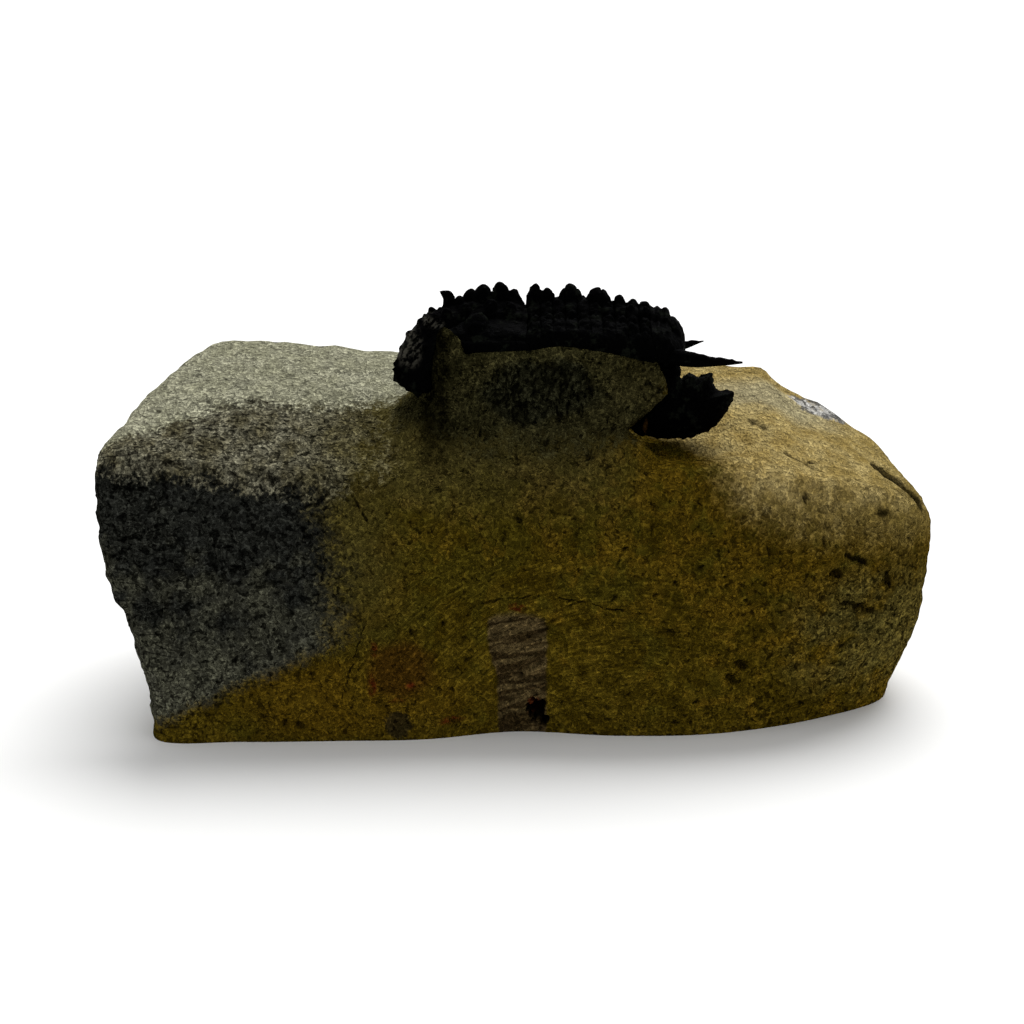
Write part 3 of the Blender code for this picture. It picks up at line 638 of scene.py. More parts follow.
def body_height(x, offset):
    """Height of the thorax and tail at x, at a distance from the axis, without knobs."""
    share = min(1.0, abs(offset) / HALF_WIDTH(x))
    margin = SEAT_EDGE(x) + MARGIN_THICK
    side = CREST(x) - AXIAL_RISE
    height = margin + (side - margin) * math.sqrt(max(0.0, 1 - share ** 3))
    lobe = math.sqrt(max(0.0, 1 - (share / AXIAL_LOBE) ** 2))
    return height + AXIAL_RISE * lobe


def segment_knobs(middle):
    """The knobs that can reach a band: those on the axis, and its own, unevenly placed."""
    knobs = list(AXIS_KNOBS)
    half = HALF_WIDTH(middle)
    for side in (-1, 1):
        for share in SIDE_KNOB_SHARES:
            stray = wander(Vector((middle * 3.1, side * 5.7, share * 11)))
            knobs.append((middle + 0.6 * stray.x, side * (share + 0.06 * stray.y) * half,
                          SIDE_KNOB_HEIGHT * (1 + 0.8 * stray.z), SIDE_KNOB_RADIUS))
        for share in (0.2, 0.34, 0.62, 0.7, 0.9):
            stray = wander(Vector((middle * 2.3, side * 3.9, share * 17)))
            knobs.append((middle + 1.1 * stray.x, side * (share + 0.08 * stray.y) * half,
                          0.55 * (1 + stray.z), 0.6 + 0.2 * stray.x))
    return knobs


def band_profile(t, share):
    """Lift of a band along its length, t from 0 at its front to 1 at its back."""
    ridge = 0.30 * math.sin(math.pi * clamp(t)) ** 0.7
    tuck = -0.75 * (1 - smooth(t / 0.16))
    furrow = -0.32 * math.exp(-((t - 0.30 - 0.35 * share) / 0.09) ** 2)
    furrow *= smooth((share - 0.36) / 0.1)
    lip = -0.35 * smooth((t - 0.88) / 0.12)
    return ridge + tuck + furrow * smooth((0.95 - share) / 0.1) + lip


def thorax_band(number):
    """One band of the thorax, from the near margin over the axis to the far margin."""
    start = THORAX_FRONT + PITCH * (number - 1) - OVERLAP
    width = PITCH + OVERLAP
    knobs = segment_knobs(start + OVERLAP + PITCH / 2)
    rings = []
    for share in spread(2 * BAND_STATIONS + 1, -1, 1):
        share = share * (0.8 + 0.2 * abs(share))
        ring = []
        curl = 0.5 * abs(share) ** 4
        for t in spread(BAND_ROWS):
            x = start + width * t
            offset = share * HALF_WIDTH(x)
            z = body_height(x, offset) + band_profile(t, abs(share))
            z += knobs_height(knobs, x, offset)
            ring.append(Vector((x + curl * (t - 0.4), AXIS_Y + offset, z)))
        for t in (1, 0.5, 0):
            x = start + width * t
            y = AXIS_Y + share * HALF_WIDTH(x)
            ring.append(Vector((x + curl * (t - 0.4), y, seat_height(x, y) - BEDDING)))
        rings.append(ring)
    bm = bmesh.new()
    loft(bm, rings)
    raise_surface(bm, shell_relief, ("grain",))
    name = f"thorax_band_{number:02d}"
    return finish_piece(name, bm, shell_material("band_shell"), [f"thorax_segment_{number:02d}"])


def half_disc(u, v):
    """A point of a square as a point of a half disc: across (-1 to 1) and ahead (0 to 1)."""
    side = 2 * u - 1
    side *= 0.65 + 0.35 * abs(side)
    return side * math.sqrt(1 - v * v / 2), v * math.sqrt(1 - side * side / 2)


def shell(bm, grid, outer, inner):
    """A closed shell over a half disc, between two surfaces given by across and ahead."""
    grid_surface(bm, *grid, lambda u, v: Vector((*half_disc(u, v), 0)))
    lower = bmesh.ops.extrude_face_region(bm, geom=bm.faces[:])["geom"]
    lower_verts = {item for item in lower if isinstance(item, bmesh.types.BMVert)}
    for vert in bm.verts:
        surface = inner if vert in lower_verts else outer
        vert.co = surface(vert.co.x, vert.co.y)
    bmesh.ops.recalc_face_normals(bm, faces=bm.faces)


def head_outer(across, ahead):
    """Outside of the head."""
    distance = min(1.0, math.hypot(across, ahead))
    edge = HEAD_EDGE(ahead / max(distance, 1e-6)) + 0.2
    width = GLABELLA_HALF_WIDTH * (1 - 0.35 * ahead ** 2)
    lobe = math.sqrt(max(0.0, 1 - (across / width) ** 2)) * smooth((1.0 - ahead) / 0.22)
    neck = smooth((ahead - 0.015) / 0.07)
    furrows = math.exp(-((abs(across) - 0.27) / 0.07) ** 2) * (
        math.exp(-((ahead - 0.2) / 0.025) ** 2) + math.exp(-((ahead - 0.42) / 0.025) ** 2))
    crest = CHEEK(ahead) + GLABELLA_RISE * lobe * (0.75 + 0.25 * neck) - 0.7 * furrows
    z = edge + (crest - edge) * math.sqrt(1 - distance ** 3.3)
    border = math.exp(-((distance - 0.93) / 0.025) ** 2)
    z -= 0.45 * border * smooth((0.7 - ahead) / 0.1)
    x = HEAD_BACK + HEAD_TUCK - (HEAD_LENGTH + HEAD_TUCK) * ahead
    offset = HEAD_HALF_WIDTH * across
    tilt = HEAD_TILT * smooth((ahead - 0.5) / 0.4)
    rise = knobs_height(HEAD_KNOBS, x, offset)
    return Vector((x - rise * math.sin(tilt), AXIS_Y + offset, z + rise * math.cos(tilt)))


def head_inner(across, ahead):
    """Inside of the head, bedded on the pedestal."""
    x = HEAD_BACK - HEAD_LENGTH * HEAD_INSIDE * ahead
    y = AXIS_Y + HALF_WIDTH(HEAD_BACK) * 0.98 * across
    return Vector((x, y, seat_height(x, y) - BEDDING))


def pull(bm, tip, reach):
    """Draw the surface near a point out to that point."""
    tip = Vector(tip)
    nearest = min(bm.verts, key=lambda vert: (vert.co - tip).length).co.copy()
    for vert in bm.verts:
        share = 1 - (vert.co - nearest).length / reach
        if share > 0:
            vert.co += (tip - nearest) * smooth(share)


def head():
    """The head shield with its swollen middle, eyes and knobs."""
    bm = bmesh.new()
    shell(bm, HEAD_GRID, head_outer, head_inner)
    for tip in EDGE_TEETH:
        pull(bm, tip, 1.8)
    pull(bm, HOOK, 1.1)
    raise_surface(bm, shell_relief, ("grain",))
    return finish_piece("head", bm, shell_material("head_shell"), ["cephalon"])


def tail_outer(across, ahead):
    """Outside of the tail shield; ahead runs from its joint to its end."""
    x = TAIL_FRONT + TAIL_LENGTH * ahead
    distance = min(1.0, math.hypot(across, ahead))
    edge = SEAT_EDGE(x) + MARGIN_THICK
    side = CREST(x) - AXIAL_RISE
    lobe = math.sqrt(max(0.0, 1 - (across / (AXIAL_LOBE * 1.1)) ** 2))
    ribs = 0.25 * math.cos(TAIL_LENGTH * ahead * math.tau / 1.5)
    z = edge + (side - edge + AXIAL_RISE * lobe) * math.sqrt(1 - distance ** 5)
    return Vector((x, AXIS_Y + TAIL_HALF_WIDTH * across, z + ribs * (1 - distance ** 2)))


def tail_inner(across, ahead):
    """Underside of the tail shield."""
    x = TAIL_FRONT + TAIL_LENGTH * 0.95 * ahead
    y = AXIS_Y + TAIL_HALF_WIDTH * 0.97 * across
    return Vector((x, y, seat_height(x, y) - BEDDING))


def spine(bm, path, sides=28, steps=46):
    """A tapering spine along a path of centres and half thicknesses."""
    places = spread(len(path))
    centre = [Curve(places, [point[k] for point, _ in path]) for k in range(3)]
    thick = Curve(places, [radius for _, radius in path])

    def place(u, v):
        middle = Vector([curve(v) for curve in centre])
        ahead = Vector([curve(min(1, v + 0.02)) for curve in centre]) - Vector(
            [curve(max(0, v - 0.02)) for curve in centre])
        turn = ahead.to_track_quat("X", "Z").to_matrix()
        angle = math.tau * (round(u * sides) % sides) / sides
        spoke = Vector((0, math.cos(angle), math.sin(angle)))
        return middle + turn @ spoke * thick(v)

    verts = grid_surface(bm, sides, steps, place)
    bmesh.ops.remove_doubles(bm, verts=verts, dist=1e-4)
    ends = [edge for edge in bm.edges if edge.is_boundary]
    bmesh.ops.holes_fill(bm, edges=ends, sides=0)


def tail():
    """The tail shield with its two long spines."""
    bm = bmesh.new()
    shell(bm, TAIL_GRID, tail_outer, tail_inner)
    for path in (NEAR_SPINE, FAR_SPINE):
        spine(bm, path)
    bmesh.ops.recalc_face_normals(bm, faces=bm.faces)
    raise_surface(bm, shell_relief, ("grain",))
    return finish_piece("tail", bm, shell_material("tail_shell"), ["pygidium"])


def shield_relief(point, normal):
    """Coarse grains on the second shield, and how high they stand."""
    knob = grain(*point, 1.5)
    small = grain(*point, 0.75)
    return 0.35 * knob + 0.15 * small + 0.3 * noise.noise(point / 2.4), knob


def leaning_shield():
    """The leaning piece of a second shield, with the stump that carries it."""
    outline = closed_curve(SHIELD_OUTLINE, [12] * len(SHIELD_OUTLINE))
    centre = Vector(SHIELD_CENTRE)
    rings = []
    angles = spread(34, 0.04, math.pi - 0.04)
    for angle in angles:
        scale = math.sin(angle) ** 0.75
        depth = -SHIELD_FRONT if angle < math.pi / 2 else SHIELD_BACK
        y = SHIELD_Y + depth * math.sqrt(max(0.0, 1 - scale ** 2))
        ring = []
        for point in outline:
            x, z = centre.lerp(point, scale)
            ring.append(Vector((x, y, z)))
        rings.append(ring)
    bm = bmesh.new()
    loft(bm, rings)
    raise_surface(bm, shield_relief, ("grain",))
    return finish_piece("leaning_shield", bm, shell_material("shield_shell"), ["second_shield"])


# ------------------------------------------------------------------------------ materials
class Wire:
    """One output of a shader node. Arithmetic on it adds Math nodes."""

    def __init__(self, tree, socket):
        self.tree = tree
        self.socket = socket

    def node(self, kind, settings=None, inputs=None, output=0):
        """Add a node: its settings first, then the values or wires of its sockets."""
        made = self.tree.nodes.new(kind)
        for name, value in (settings or {}).items():
            setattr(made, name, value)
        for key, value in (inputs or {}).items():
            if isinstance(value, Wire):
                self.tree.links.new(value.socket, made.inputs[key])
            else:
                made.inputs[key].default_value = value
        return Wire(self.tree, made.outputs[output])

    def math(self, operation, *values):
        """A Math node on this number and others."""
        inputs = dict(enumerate((self, *values)))
        return self.node("ShaderNodeMath", {"operation": operation}, inputs)

    def __add__(self, other):
        if isinstance(other, Wire) and other.socket.type == "VECTOR":
            return self.vector("ADD", other)
        return self.math("ADD", other)

    __radd__ = __add__

    def __mul__(self, other):
        return self.math("MULTIPLY", other)

    __rmul__ = __mul__

    def __sub__(self, other):
        return self.math("SUBTRACT", other)

    def __rsub__(self, other):
        return (self * -1) + other

    def __truediv__(self, other):
        return self.math("DIVIDE", other)

    def size(self):
        """This number without its sign."""
        return self.math("ABSOLUTE")

    def ramp(self, low, high):
        """A smooth step from 0 at low to 1 at high, which may be the smaller one."""
        inputs = {0: self, 1: low, 2: high, 3: 0.0, 4: 1.0}
        return self.node("ShaderNodeMapRange", {"interpolation_type": "SMOOTHSTEP"}, inputs)

    def vector(self, operation, *values, output=0):
        """A Vector Math node on this place and others."""
        inputs = dict(enumerate((self, *values)))
        return self.node("ShaderNodeVectorMath", {"operation": operation}, inputs, output)

    def length(self):
        """Length of this vector."""
        return self.vector("LENGTH", output=1)

    def space(self, second, third):
        """A place from this coordinate and two more."""
        return self.node("ShaderNodeCombineXYZ", None, {0: self, 1: second, 2: third})

    def plane(self, other):
        """This coordinate and another as a place in their plane."""
        return self.space(other, 0.0)

    def parts(self):
        """The X, Y and Z of this place."""
        return [self.node("ShaderNodeSeparateXYZ", None, {0: self}, k) for k in range(3)]

    def mottle(self, size, detail=2.0, roughness=0.5):
        """Soft noise around 0.5; size is in millimetres."""
        inputs = {"Vector": self, "Scale": 1 / size, "Detail": detail, "Roughness": roughness}
        return self.node("ShaderNodeTexNoise", None, inputs)

    def scaled(self, factor):
        """This colour or place times a factor."""
        return self.node("ShaderNodeVectorMath", {"operation": "SCALE"}, {0: self, 3: factor})

    def warped(self, size, amount):
        """This place, moved about by soft noise; both sizes are in millimetres."""
        inputs = {"Vector": self, "Scale": 1 / size, "Detail": 1.0}
        noise_colour = self.node("ShaderNodeTexNoise", None, inputs, 1)
        return self + noise_colour.vector("SUBTRACT", (0.5, 0.5, 0.5)).scaled(2 * amount)

    def frayed(self, noise_wire):
        """This factor with its edge broken up by noise around 0."""
        edge = self * (1 - self) * noise_wire * 4
        return (self + edge).ramp(0.1, 0.9)

    def blend(self, low, high):
        """A colour between two, by this factor."""
        return self.node("ShaderNodeMix", {"data_type": "RGBA"}, {0: self, 6: low, 7: high}, 2)

    def bump(self, strength=1.0):
        """This height, in millimetres, as a bump."""
        inputs = {"Height": self, "Distance": MM, "Strength": strength}
        return self.node("ShaderNodeBump", None, inputs)


def colour(values):
    """A colour with its alpha, as sockets take it."""
    return (*values, 1.0)


def tints_of(settings):
    """The colours among the settings of a group, by name."""
    values = {name: getattr(settings, name) for name in settings.__annotations__}
    return {name: colour(value) for name, value in values.items()
            if not isinstance(value, float)}


def new_material(name):
    """An empty material: its shader, and the place on the piece in millimetres."""
    material = bpy.data.materials.new(name)
    material.use_nodes = True
    tree = material.node_tree
    shader = tree.nodes["Principled BSDF"]
    place = Wire(tree, tree.nodes.new("ShaderNodeTexCoord").outputs["Object"])
    shift = tuple(-part * MM for part in frame_shift())
    return material, shader, place.vector("ADD", shift).scaled(1 / MM)


def attribute(wire, name):
    """A number that each vertex holds."""
    return wire.node("ShaderNodeAttribute", {"attribute_name": name}, None, 2)


def set_inputs(shader, wires):
    """Link wires to the shader's sockets, by name."""
    for name, wire in wires.items():
        shader.id_data.links.new(wire.socket, shader.inputs[name])


def oval(plane, centre, radii):
    """Distance from the centre of an oval, 1 at its edge."""
    across, along = 1 / radii[0], 1 / radii[1]
    start = (-centre[0] * across, -centre[1] * along, 0)
    return plane.vector("MULTIPLY_ADD", (across, along, 0), start).length()


def stroke(plane, start, end, width):
    """1 along the line from start to end, and 0 from width away."""
    span = Vector(end) - Vector(start)
    away = plane.vector("SUBTRACT", (*start, 0))
    share = away.vector("DOT_PRODUCT", (*(span / span.length_squared), 0), output=1)
    share = share.node("ShaderNodeClamp", None, {0: share})
    along = share.node("ShaderNodeVectorMath", {"operation": "SCALE"}, {0: (*span, 0), 3: share})
    return away.vector("SUBTRACT", along).length().ramp(width, width * 0.3)


def most(wires):
    """The greatest of several factors."""
    first, *others = wires
    for other in others:
        first = first.math("MAXIMUM", other)
    return first


class StoneWires:
    """What the stone's colours share: places on it, its marks, its noises and its zones."""

    def __init__(self, place):
        marks = [attribute(place, name) for name in STONE_MARKS]
        self.pit, self.bleached, self.rubbed, self.pedestal = marks
        self.place = place
        self.x, self.y, self.z = place.parts()
        self.curl = place.warped(1.8, 0.5)
        near_x, _, near_z = self.curl.parts()
        loose_x, loose_y, loose_z = place.warped(5.0, 2.2).parts()
        self.near_x, self.near_z, self.loose_x, self.loose_z = near_x, near_z, loose_x, loose_z
        self.face, self.near_face = self.x.plane(self.z), near_x.plane(near_z)
        self.loose_face, self.loose_top = loose_x.plane(loose_z), loose_x.plane(loose_y)

        drawn = place.vector("MULTIPLY", (1.0, 0.5, 1.0))   # marks run longer from front to back
        self.medium = drawn.mottle(MEDIUM_SIZE, 3.0, 0.62)
        self.broad = drawn.vector("ADD", (40, 7, 3)).mottle(BROAD_SIZE, 3.0, 0.6)
        self.grit = drawn.mottle(GRIT_SIZE, 1.5, 0.62).ramp(0.36, 0.64)
        blotch = drawn.vector("ADD", (3, 9, 1)).mottle(BLOTCH_SIZE, 2.0, 0.6)
        self.blotch = blotch.ramp(0.36, 0.64)
        grains = (self.grit - 0.5) * 0.6 + (self.blotch - 0.5) * 0.6
        self.ragged = (self.medium - 0.5) * 1.6 + (self.broad - 0.5) * 1.2 + grains * 0.7

        self.front = 1 - self.y.ramp(*FRONT_FACE)
        dusty = 1 - oval(self.loose_face, *DUSTY).ramp(0.4, 1.1)
        self.dusty = dusty * self.broad.ramp(0.3, 0.55)
        slant = (GREY_FOOT - self.z).math("MAXIMUM", 0.0) * 2.1
        slant = slant + (self.z - 30).math("MAXIMUM", 0.0) * 0.15
        beyond_grey = loose_x + slant + (self.medium - 0.5) * 8 + grains * 3.0 - GREY_END
        self.grey = 1 - beyond_grey.ramp(-4.0, 5.0)
        # Painted shade on the rounded front edge of the left end.
        self.band = self.rubbed.frayed(self.ragged)
        # The pale top: partly bleached colour, partly painted light on surfaces that face up.
        self.top = self.bleached.frayed(self.ragged * (0.55 - self.x.ramp(0.0, 20.0) * 0.35))
        # The pedestal zone, whose colour carries painted shade.
        self.under = self.pedestal.frayed(self.ragged * 0.8)
        # Painted shade: the shallow oval on the pedestal's near face.
        shallow = 1 - oval(self.loose_face, OVAL[:2], OVAL[2:]).ramp(0.8, 1.15)
        self.shallow = shallow * (1 - self.y.ramp(-14.0, -10.0)) * self.under
        broken = oval(self.loose_top, *BROKEN) + self.ragged * 0.3
        self.broken = (1 - broken.ramp(0.8, 1.1)) * self.z.ramp(44.0, 45.0)
        self.worked = (1 - oval(self.face, *WORKED).ramp(0.5, 1.1)) * self.front


def ochre_rock(at, tints):
    """Ochre body of the rock: olive and warm patches, greyer at the right end's foot.

    It is duller towards the pedestal and the grey end.
    """
    ochre = at.medium.ramp(0.36, 0.66).blend(tints["ochre_dark"], tints["ochre"])
    olive = (at.broad + (at.z - 30) * 0.004 - (at.x - 10) * 0.001).ramp(0.44, 0.60)
    ochre = (olive * 0.6).blend(ochre, tints["olive"])
    warm = ((at.x - 10) * 0.003 + (at.z - 24) * 0.004 + at.medium).ramp(0.52, 0.70)
    low_warm = (1 - oval(at.loose_face, *LOW_WARM).ramp(0.5, 1.2)) * at.front
    ochre = (most([warm, low_warm]) * 0.6).blend(ochre, tints["rust_tan"])
    ochre = (at.dusty * 0.7).blend(ochre, tints["dust"])
    dull = (at.z + (at.medium - 0.5) * 14).ramp(38.0, 54.0) * (1 - at.x.ramp(10.0, 28.0))
    beside_grey = (1 - at.loose_x.ramp(-32.0, -14.0)) * at.z.ramp(12.0, 34.0) * 0.7
    return (most([dull, beside_grey]) * 0.75).blend(ochre, tints["dull"])


def grey_rock(at, tints):
    """Grey rock of the left end, darker higher up."""
    deep = (at.broad + (at.z - 28) * 0.009).ramp(0.40, 0.60)
    dark_patch = 1 - oval(at.loose_face, *DARK_GREY).ramp(0.6, 1.3)
    grey = at.medium.ramp(0.3, 0.7).blend(tints["grey_mid"], tints["grey"])
    return (most([deep, dark_patch]) * 0.85).blend(grey, tints["grey_dark"])


def edge_band_rock(at, tints):
    """Rock of the band along the left end's rounded front edge, darkened with painted shade,
    duller away from the left end.
    """
    band = at.medium.ramp(0.3, 0.7).blend(tints["rubbed_dark"], tints["rubbed"])
    return (at.x.ramp(-44.0, -24.0) * 0.75).blend(band, tints["dull"])


def bleached_lit_rock(at, tints):
    """Rock of the pale top, partly bleached and partly painted light: pale grey at the left, cream
    with a chalky patch at the right.
    """
    cream = at.medium.ramp(0.32, 0.7).blend(tints["cream_dark"], tints["cream"])
    pale = at.medium.ramp(0.34, 0.66).blend(tints["pale_dark"], tints["pale"])
    top = (at.x + (at.broad - 0.5) * 16).ramp(-14.0, 18.0).blend(pale, cream)
    brink = (1 - (at.z + (at.medium - 0.5) * 12).ramp(36.0, 50.0)) * at.x.ramp(10.0, 30.0)
    top = (brink * 0.85).blend(top, tints["brink"])
    chalk = 1 - oval(at.loose_top, *CHALK).ramp(0.3, 1.1)
    return (chalk * 0.5).blend(top, tints["pale"])


def with_pedestal(at, tints, skin):
    """The darker, greener pedestal: greener in its own colour and darker with painted shade,
    darkest with painted shade in the shallow oval on its near face.
    """
    green = at.broad.ramp(0.35, 0.65).blend(tints["pedestal_dark"], tints["pedestal"])
    skin = (at.under * 0.92).blend(skin, green)
    return (at.shallow * 0.9).blend(skin, tints["oval"])


def with_vein(at, tints, skin):
    """The banded vein up the middle of the front, and the rusty rim of the hole in it."""
    middle, half_width = VEIN_CROWN
    bend = (at.x - middle) / half_width
    vein = (at.near_x + at.near_z.ramp(10.5, 18.5) * 1.9 - VEIN_LEFT).ramp(-0.35, 0.35)
    vein = vein * (1 - (at.near_x - VEIN_RIGHT).ramp(-0.35, 0.35)) * at.front
    vein = vein * (1 - (at.near_z + bend * bend * 1.2 - VEIN_TOP).ramp(-0.9, 0.9))
    strata = (at.near_x * 0.12).space(at.y * 0.3, at.near_z - at.x * 0.2)
    strata = strata.mottle(STRATA_SIZE, 1.0, 0.62).ramp(0.40, 0.60)
    skin = (vein * 0.92).blend(skin, strata.blend(tints["vein_dark"], tints["vein"]))
    rim = oval(at.near_face, (HOLE[0] - 0.6, HOLE[1] + 0.9), HOLE[2:]) + at.ragged * 0.5
    return ((1 - rim.ramp(0.7, 1.2)) * at.front * 0.8).blend(skin, tints["rust"])


def with_stains(at, tints, skin):
    """Iron stains and a dark spot low on the front, and the broken patch on the top."""
    blush = (1 - oval(at.loose_face, *BLUSH).ramp(0.6, 1.2)) * at.front
    skin = (blush * 0.85).blend(skin, tints["blush"])
    rust = most([1 - (oval(at.near_face, spot[:2], spot[2:]) + at.ragged * 0.5).ramp(0.3, 1.4)
                 for spot in RUST_SPOTS]) * at.front
    skin = (rust * at.blotch.ramp(-0.3, 0.6) * 0.9).blend(skin, tints["rust"])
    spot = oval(at.near_face, *FOOT_SPOT) + at.ragged * 0.3
    skin = ((1 - spot.ramp(0.8, 1.1)) * at.front * 0.8).blend(skin, tints["stain"])
    return (at.broken * at.medium.ramp(0.25, 0.5)).blend(skin, tints["broken"])


def hairline_cracks(at):
    """Cracks in the front, and the bedding that shows at the left end."""
    lines = most([stroke(at.near_face, *line) for line in FRONT_CRACKS]) * at.front
    beds = at.place.vector("MULTIPLY", (0.25, 0.25, 1.0)).mottle(BEDS_SIZE, 1.0)
    beds = 1 - (beds - 0.5).size().ramp(0.0, 0.02)
    beds = beds * (1 - (at.x + at.medium * 14).ramp(-62.0, -50.0))
    return most([lines, beds * (1 - at.bleached)]) * at.blotch.ramp(0.0, 0.6)


def tool_strokes(at):
    """Fine arcs that a tool left across the middle of the front; 0 is no change."""
    pivot_x, pivot_z = TOOL_PIVOT
    reach = oval(at.face, TOOL_PIVOT, (1.0, 1.0))
    turn = at.x.node("ShaderNodeMath", {"operation": "ARCTAN2"},
                     {0: at.x - pivot_x, 1: at.z - pivot_z})
    swept = (reach * 1.9).space(turn * 9, 0.0).mottle(1.0, 1.0, 0.6)
    scratch = (swept.ramp(0.58, 0.66) - (1 - swept).ramp(0.58, 0.66)) * at.worked
    return (swept - 0.5) * at.worked * 1.7 + scratch * 0.4


def pecking(at):
    """Grains, pale scuffs, dark scars and specks; weakest on the pale top."""
    scuff = 1 - (at.curl.mottle(SCUFF_SIZE, 1.0) - 0.5).size().ramp(0.0, 0.05)
    scuff = scuff * (1.3 - at.blotch)
    scar = at.curl.vector("ADD", (8, 3, 5)).mottle(SCAR_SIZE, 1.0)
    scar = 1 - (scar - 0.5).size().ramp(0.0, 0.04)
    scar = scar * at.medium.ramp(0.40, 0.56) * (1 - at.worked * 0.6)
    speck = at.curl.vector("ADD", (5, 5, 5)).mottle(SPECK_SIZE, 1.5, 0.6)
    speck = speck + at.x.ramp(25.0, 50.0) * 0.04 - at.worked * 0.03
    speck = speck + (1 - at.x.ramp(-35.0, -25.0)) * (0.03 + at.z.ramp(20.0, 34.0) * 0.04)
    speck = speck.ramp(0.61, 0.68) * (1 - at.bleached * 0.5)
    rough = most([at.grey, at.band, at.bleached * 0.3, at.dusty, at.under * 0.8])
    stops = (at.grit - 0.5) * 0.9 + (at.blotch - 0.5) * 0.8 + scuff * 0.7 - scar * 1.4 - 0.15
    return (stops - speck * 1.4) * (1.0 + rough * 0.4 - at.bleached * 0.55)


def shading(at):
    """Painted shade under the head, down the pedestal's left flank and its rise beside the head; a
    painted highlight along the pedestal's rim; and painted light from the floor's bounce, paler at
    the foot of the front.
    """
    flank = (at.loose_x + 18.4).ramp(0.0, 2.5)
    flank = flank * (1 - (at.x + (at.medium - 0.5) * 10).ramp(-13.0, -9.0))
    shaded = flank * (1 - at.y.ramp(-14.0, -8.0)) * at.loose_z.ramp(48.0, 56.0)
    shaded = shaded * (1.4 + at.z.ramp(68.0, 73.0) - at.blotch * 0.5)
    lit = at.pedestal * at.z.ramp(67.5, 69.5) * at.x.ramp(-9.0, -4.0)
    # Painted light: paler towards the foot of the front, standing in for light bounced from the
    # floor.
    low = 1 - at.z.ramp(0.0, 26.0)
    dust = low * (1 - at.bleached) * (at.grey * 0.7 + 0.45) + low * at.x.ramp(20.0, 45.0) * 0.2
    return dust - shaded * 1.5 + lit * 0.3


def limestone():
    """Pecked limestone: grey at the left end, ochre in front and pale on top, partly bleached and
    partly painted light.
    """
    material, shader, place = new_material("limestone")
    tints = tints_of(stone_settings())
    at = StoneWires(place)
    skin = at.grey.blend(ochre_rock(at, tints), grey_rock(at, tints))
    skin = at.band.blend(skin, edge_band_rock(at, tints))
    skin = at.top.blend(skin, bleached_lit_rock(at, tints))
    for zone in (with_pedestal, with_vein, with_stains):
        skin = zone(at, tints, skin)

    stops = pecking(at) + tool_strokes(at) + shading(at) - hairline_cracks(at) * 2.8
    # Painted shade: darker by the depth of pits, grooves and the hole.
    stops = stops - at.pit.ramp(*PIT_DARK) * 2.1 - at.pit.ramp(*PIT_BLACK) * 2.0
    # The broken patch's darker facets, and more painted shade in the shallow oval on the pedestal.
    stops = stops - at.broken * (1 - at.blotch.ramp(0.2, 0.6)) * 1.6 - at.shallow * 0.3
    tone = stops.node("ShaderNodeMath", {"operation": "POWER"}, {0: 2.0, 1: stops})
    relief = at.grit * 0.40 + at.blotch * 0.34
    set_inputs(shader, {"Base Color": skin.scaled(tone), "Normal": relief.bump(),
                        "Roughness": 0.8 + at.grit * 0.15})
    shader.inputs["Specular IOR Level"].default_value = 0.0
    return material


def shell_material(name):
    """Black fossil shell, browner and greyer where it is worn."""
    settings = shell_settings()
    material, shader, place = new_material(name)
    knob = attribute(place, "grain")
    broad = place.mottle(3.2, 3.0, 0.6)
    fine = place.mottle(0.6, 3.0, 0.65)
    x, y, z = place.parts()
    skin = fine.ramp(0.45, 0.75).blend(colour(settings.black), colour(settings.brown))
    plate = most([1 - oval(x.plane(z), *patch).ramp(0.6, 1.15) for patch in WORN_PATCHES])
    drawn = ((x + z) * 0.5).space(y * 0.5, x - z)
    worn = plate * drawn.mottle(0.9, 3.0, 0.62).ramp(0.44, 0.66) * 0.6
    flecks = (broad + fine * 0.35 + knob * 0.1).ramp(0.74, 0.86)
    skin = (flecks * 0.12).blend(skin, colour(settings.moss))
    skin = worn.blend(skin, colour(settings.worn))
    if name == "shield_shell":
        bent = (x + (broad - 0.5) * 1.5).plane(z)
        sliver = oval(bent, *SLIVER).ramp(0.5, 1.1)
        skin = ((1 - sliver) * (1 - y.ramp(-11, -10))).blend(skin, colour(settings.amber))
    relief = (fine - 0.5) * 0.4
    set_inputs(shader, {"Base Color": skin, "Normal": relief.bump(0.8),
                        "Roughness": 0.5 + fine * 0.2})
    shader.inputs["Specular IOR Level"].default_value = 0.004
    return material


def floor_material():
    """Plain pale floor."""
    material, shader, _ = new_material("pale_floor")
    shader.inputs["Base Color"].default_value = colour(stage_settings().floor_colour)
    shader.inputs["Roughness"].default_value = 0.9
    return material


# -------------------------------------------------------------------------------- helpers
def frame_shift():
    """Where the part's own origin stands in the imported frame, in millimetres."""
    low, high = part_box("thorax_segment_01")
    x = low[0] / MM - (THORAX_FRONT + JOINT / 2)
    y = (low[1] + high[1]) / 2 / MM - AXIS_Y
    return Vector((x, y, 0))


def finish_piece(name, bm, material, nodes):
    """Move a mesh into the frame and let it stand for the CAD nodes."""
    bmesh.ops.translate(bm, vec=frame_shift(), verts=bm.verts)
    bmesh.ops.scale(bm, vec=(MM, MM, MM), verts=bm.verts)
    mesh = bpy.data.meshes.new(name)
    bm.to_mesh(mesh)
    bm.free()
    mesh.shade_smooth()
    mesh.materials.append(material)
    piece = bpy.data.objects.new(name, mesh)
    bpy.context.scene.collection.objects.link(piece)
    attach(piece, BODY)
    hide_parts(*nodes)
    return piece


def stone_settings():
    """What the user can change about the stone."""
    return bpy.context.scene.fossil_stone


def shell_settings():
    """What the user can change about the fossil shell."""
    return bpy.context.scene.fossil_shell


def stage_settings():
    """What the user can change about the stage."""
    return bpy.context.scene.fossil_stage


def tint(name, description, default):
    """A colour that the user can change."""
    return FloatVectorProperty(name=name, description=description, subtype="COLOR",
                               size=3, min=0, max=1, default=default)


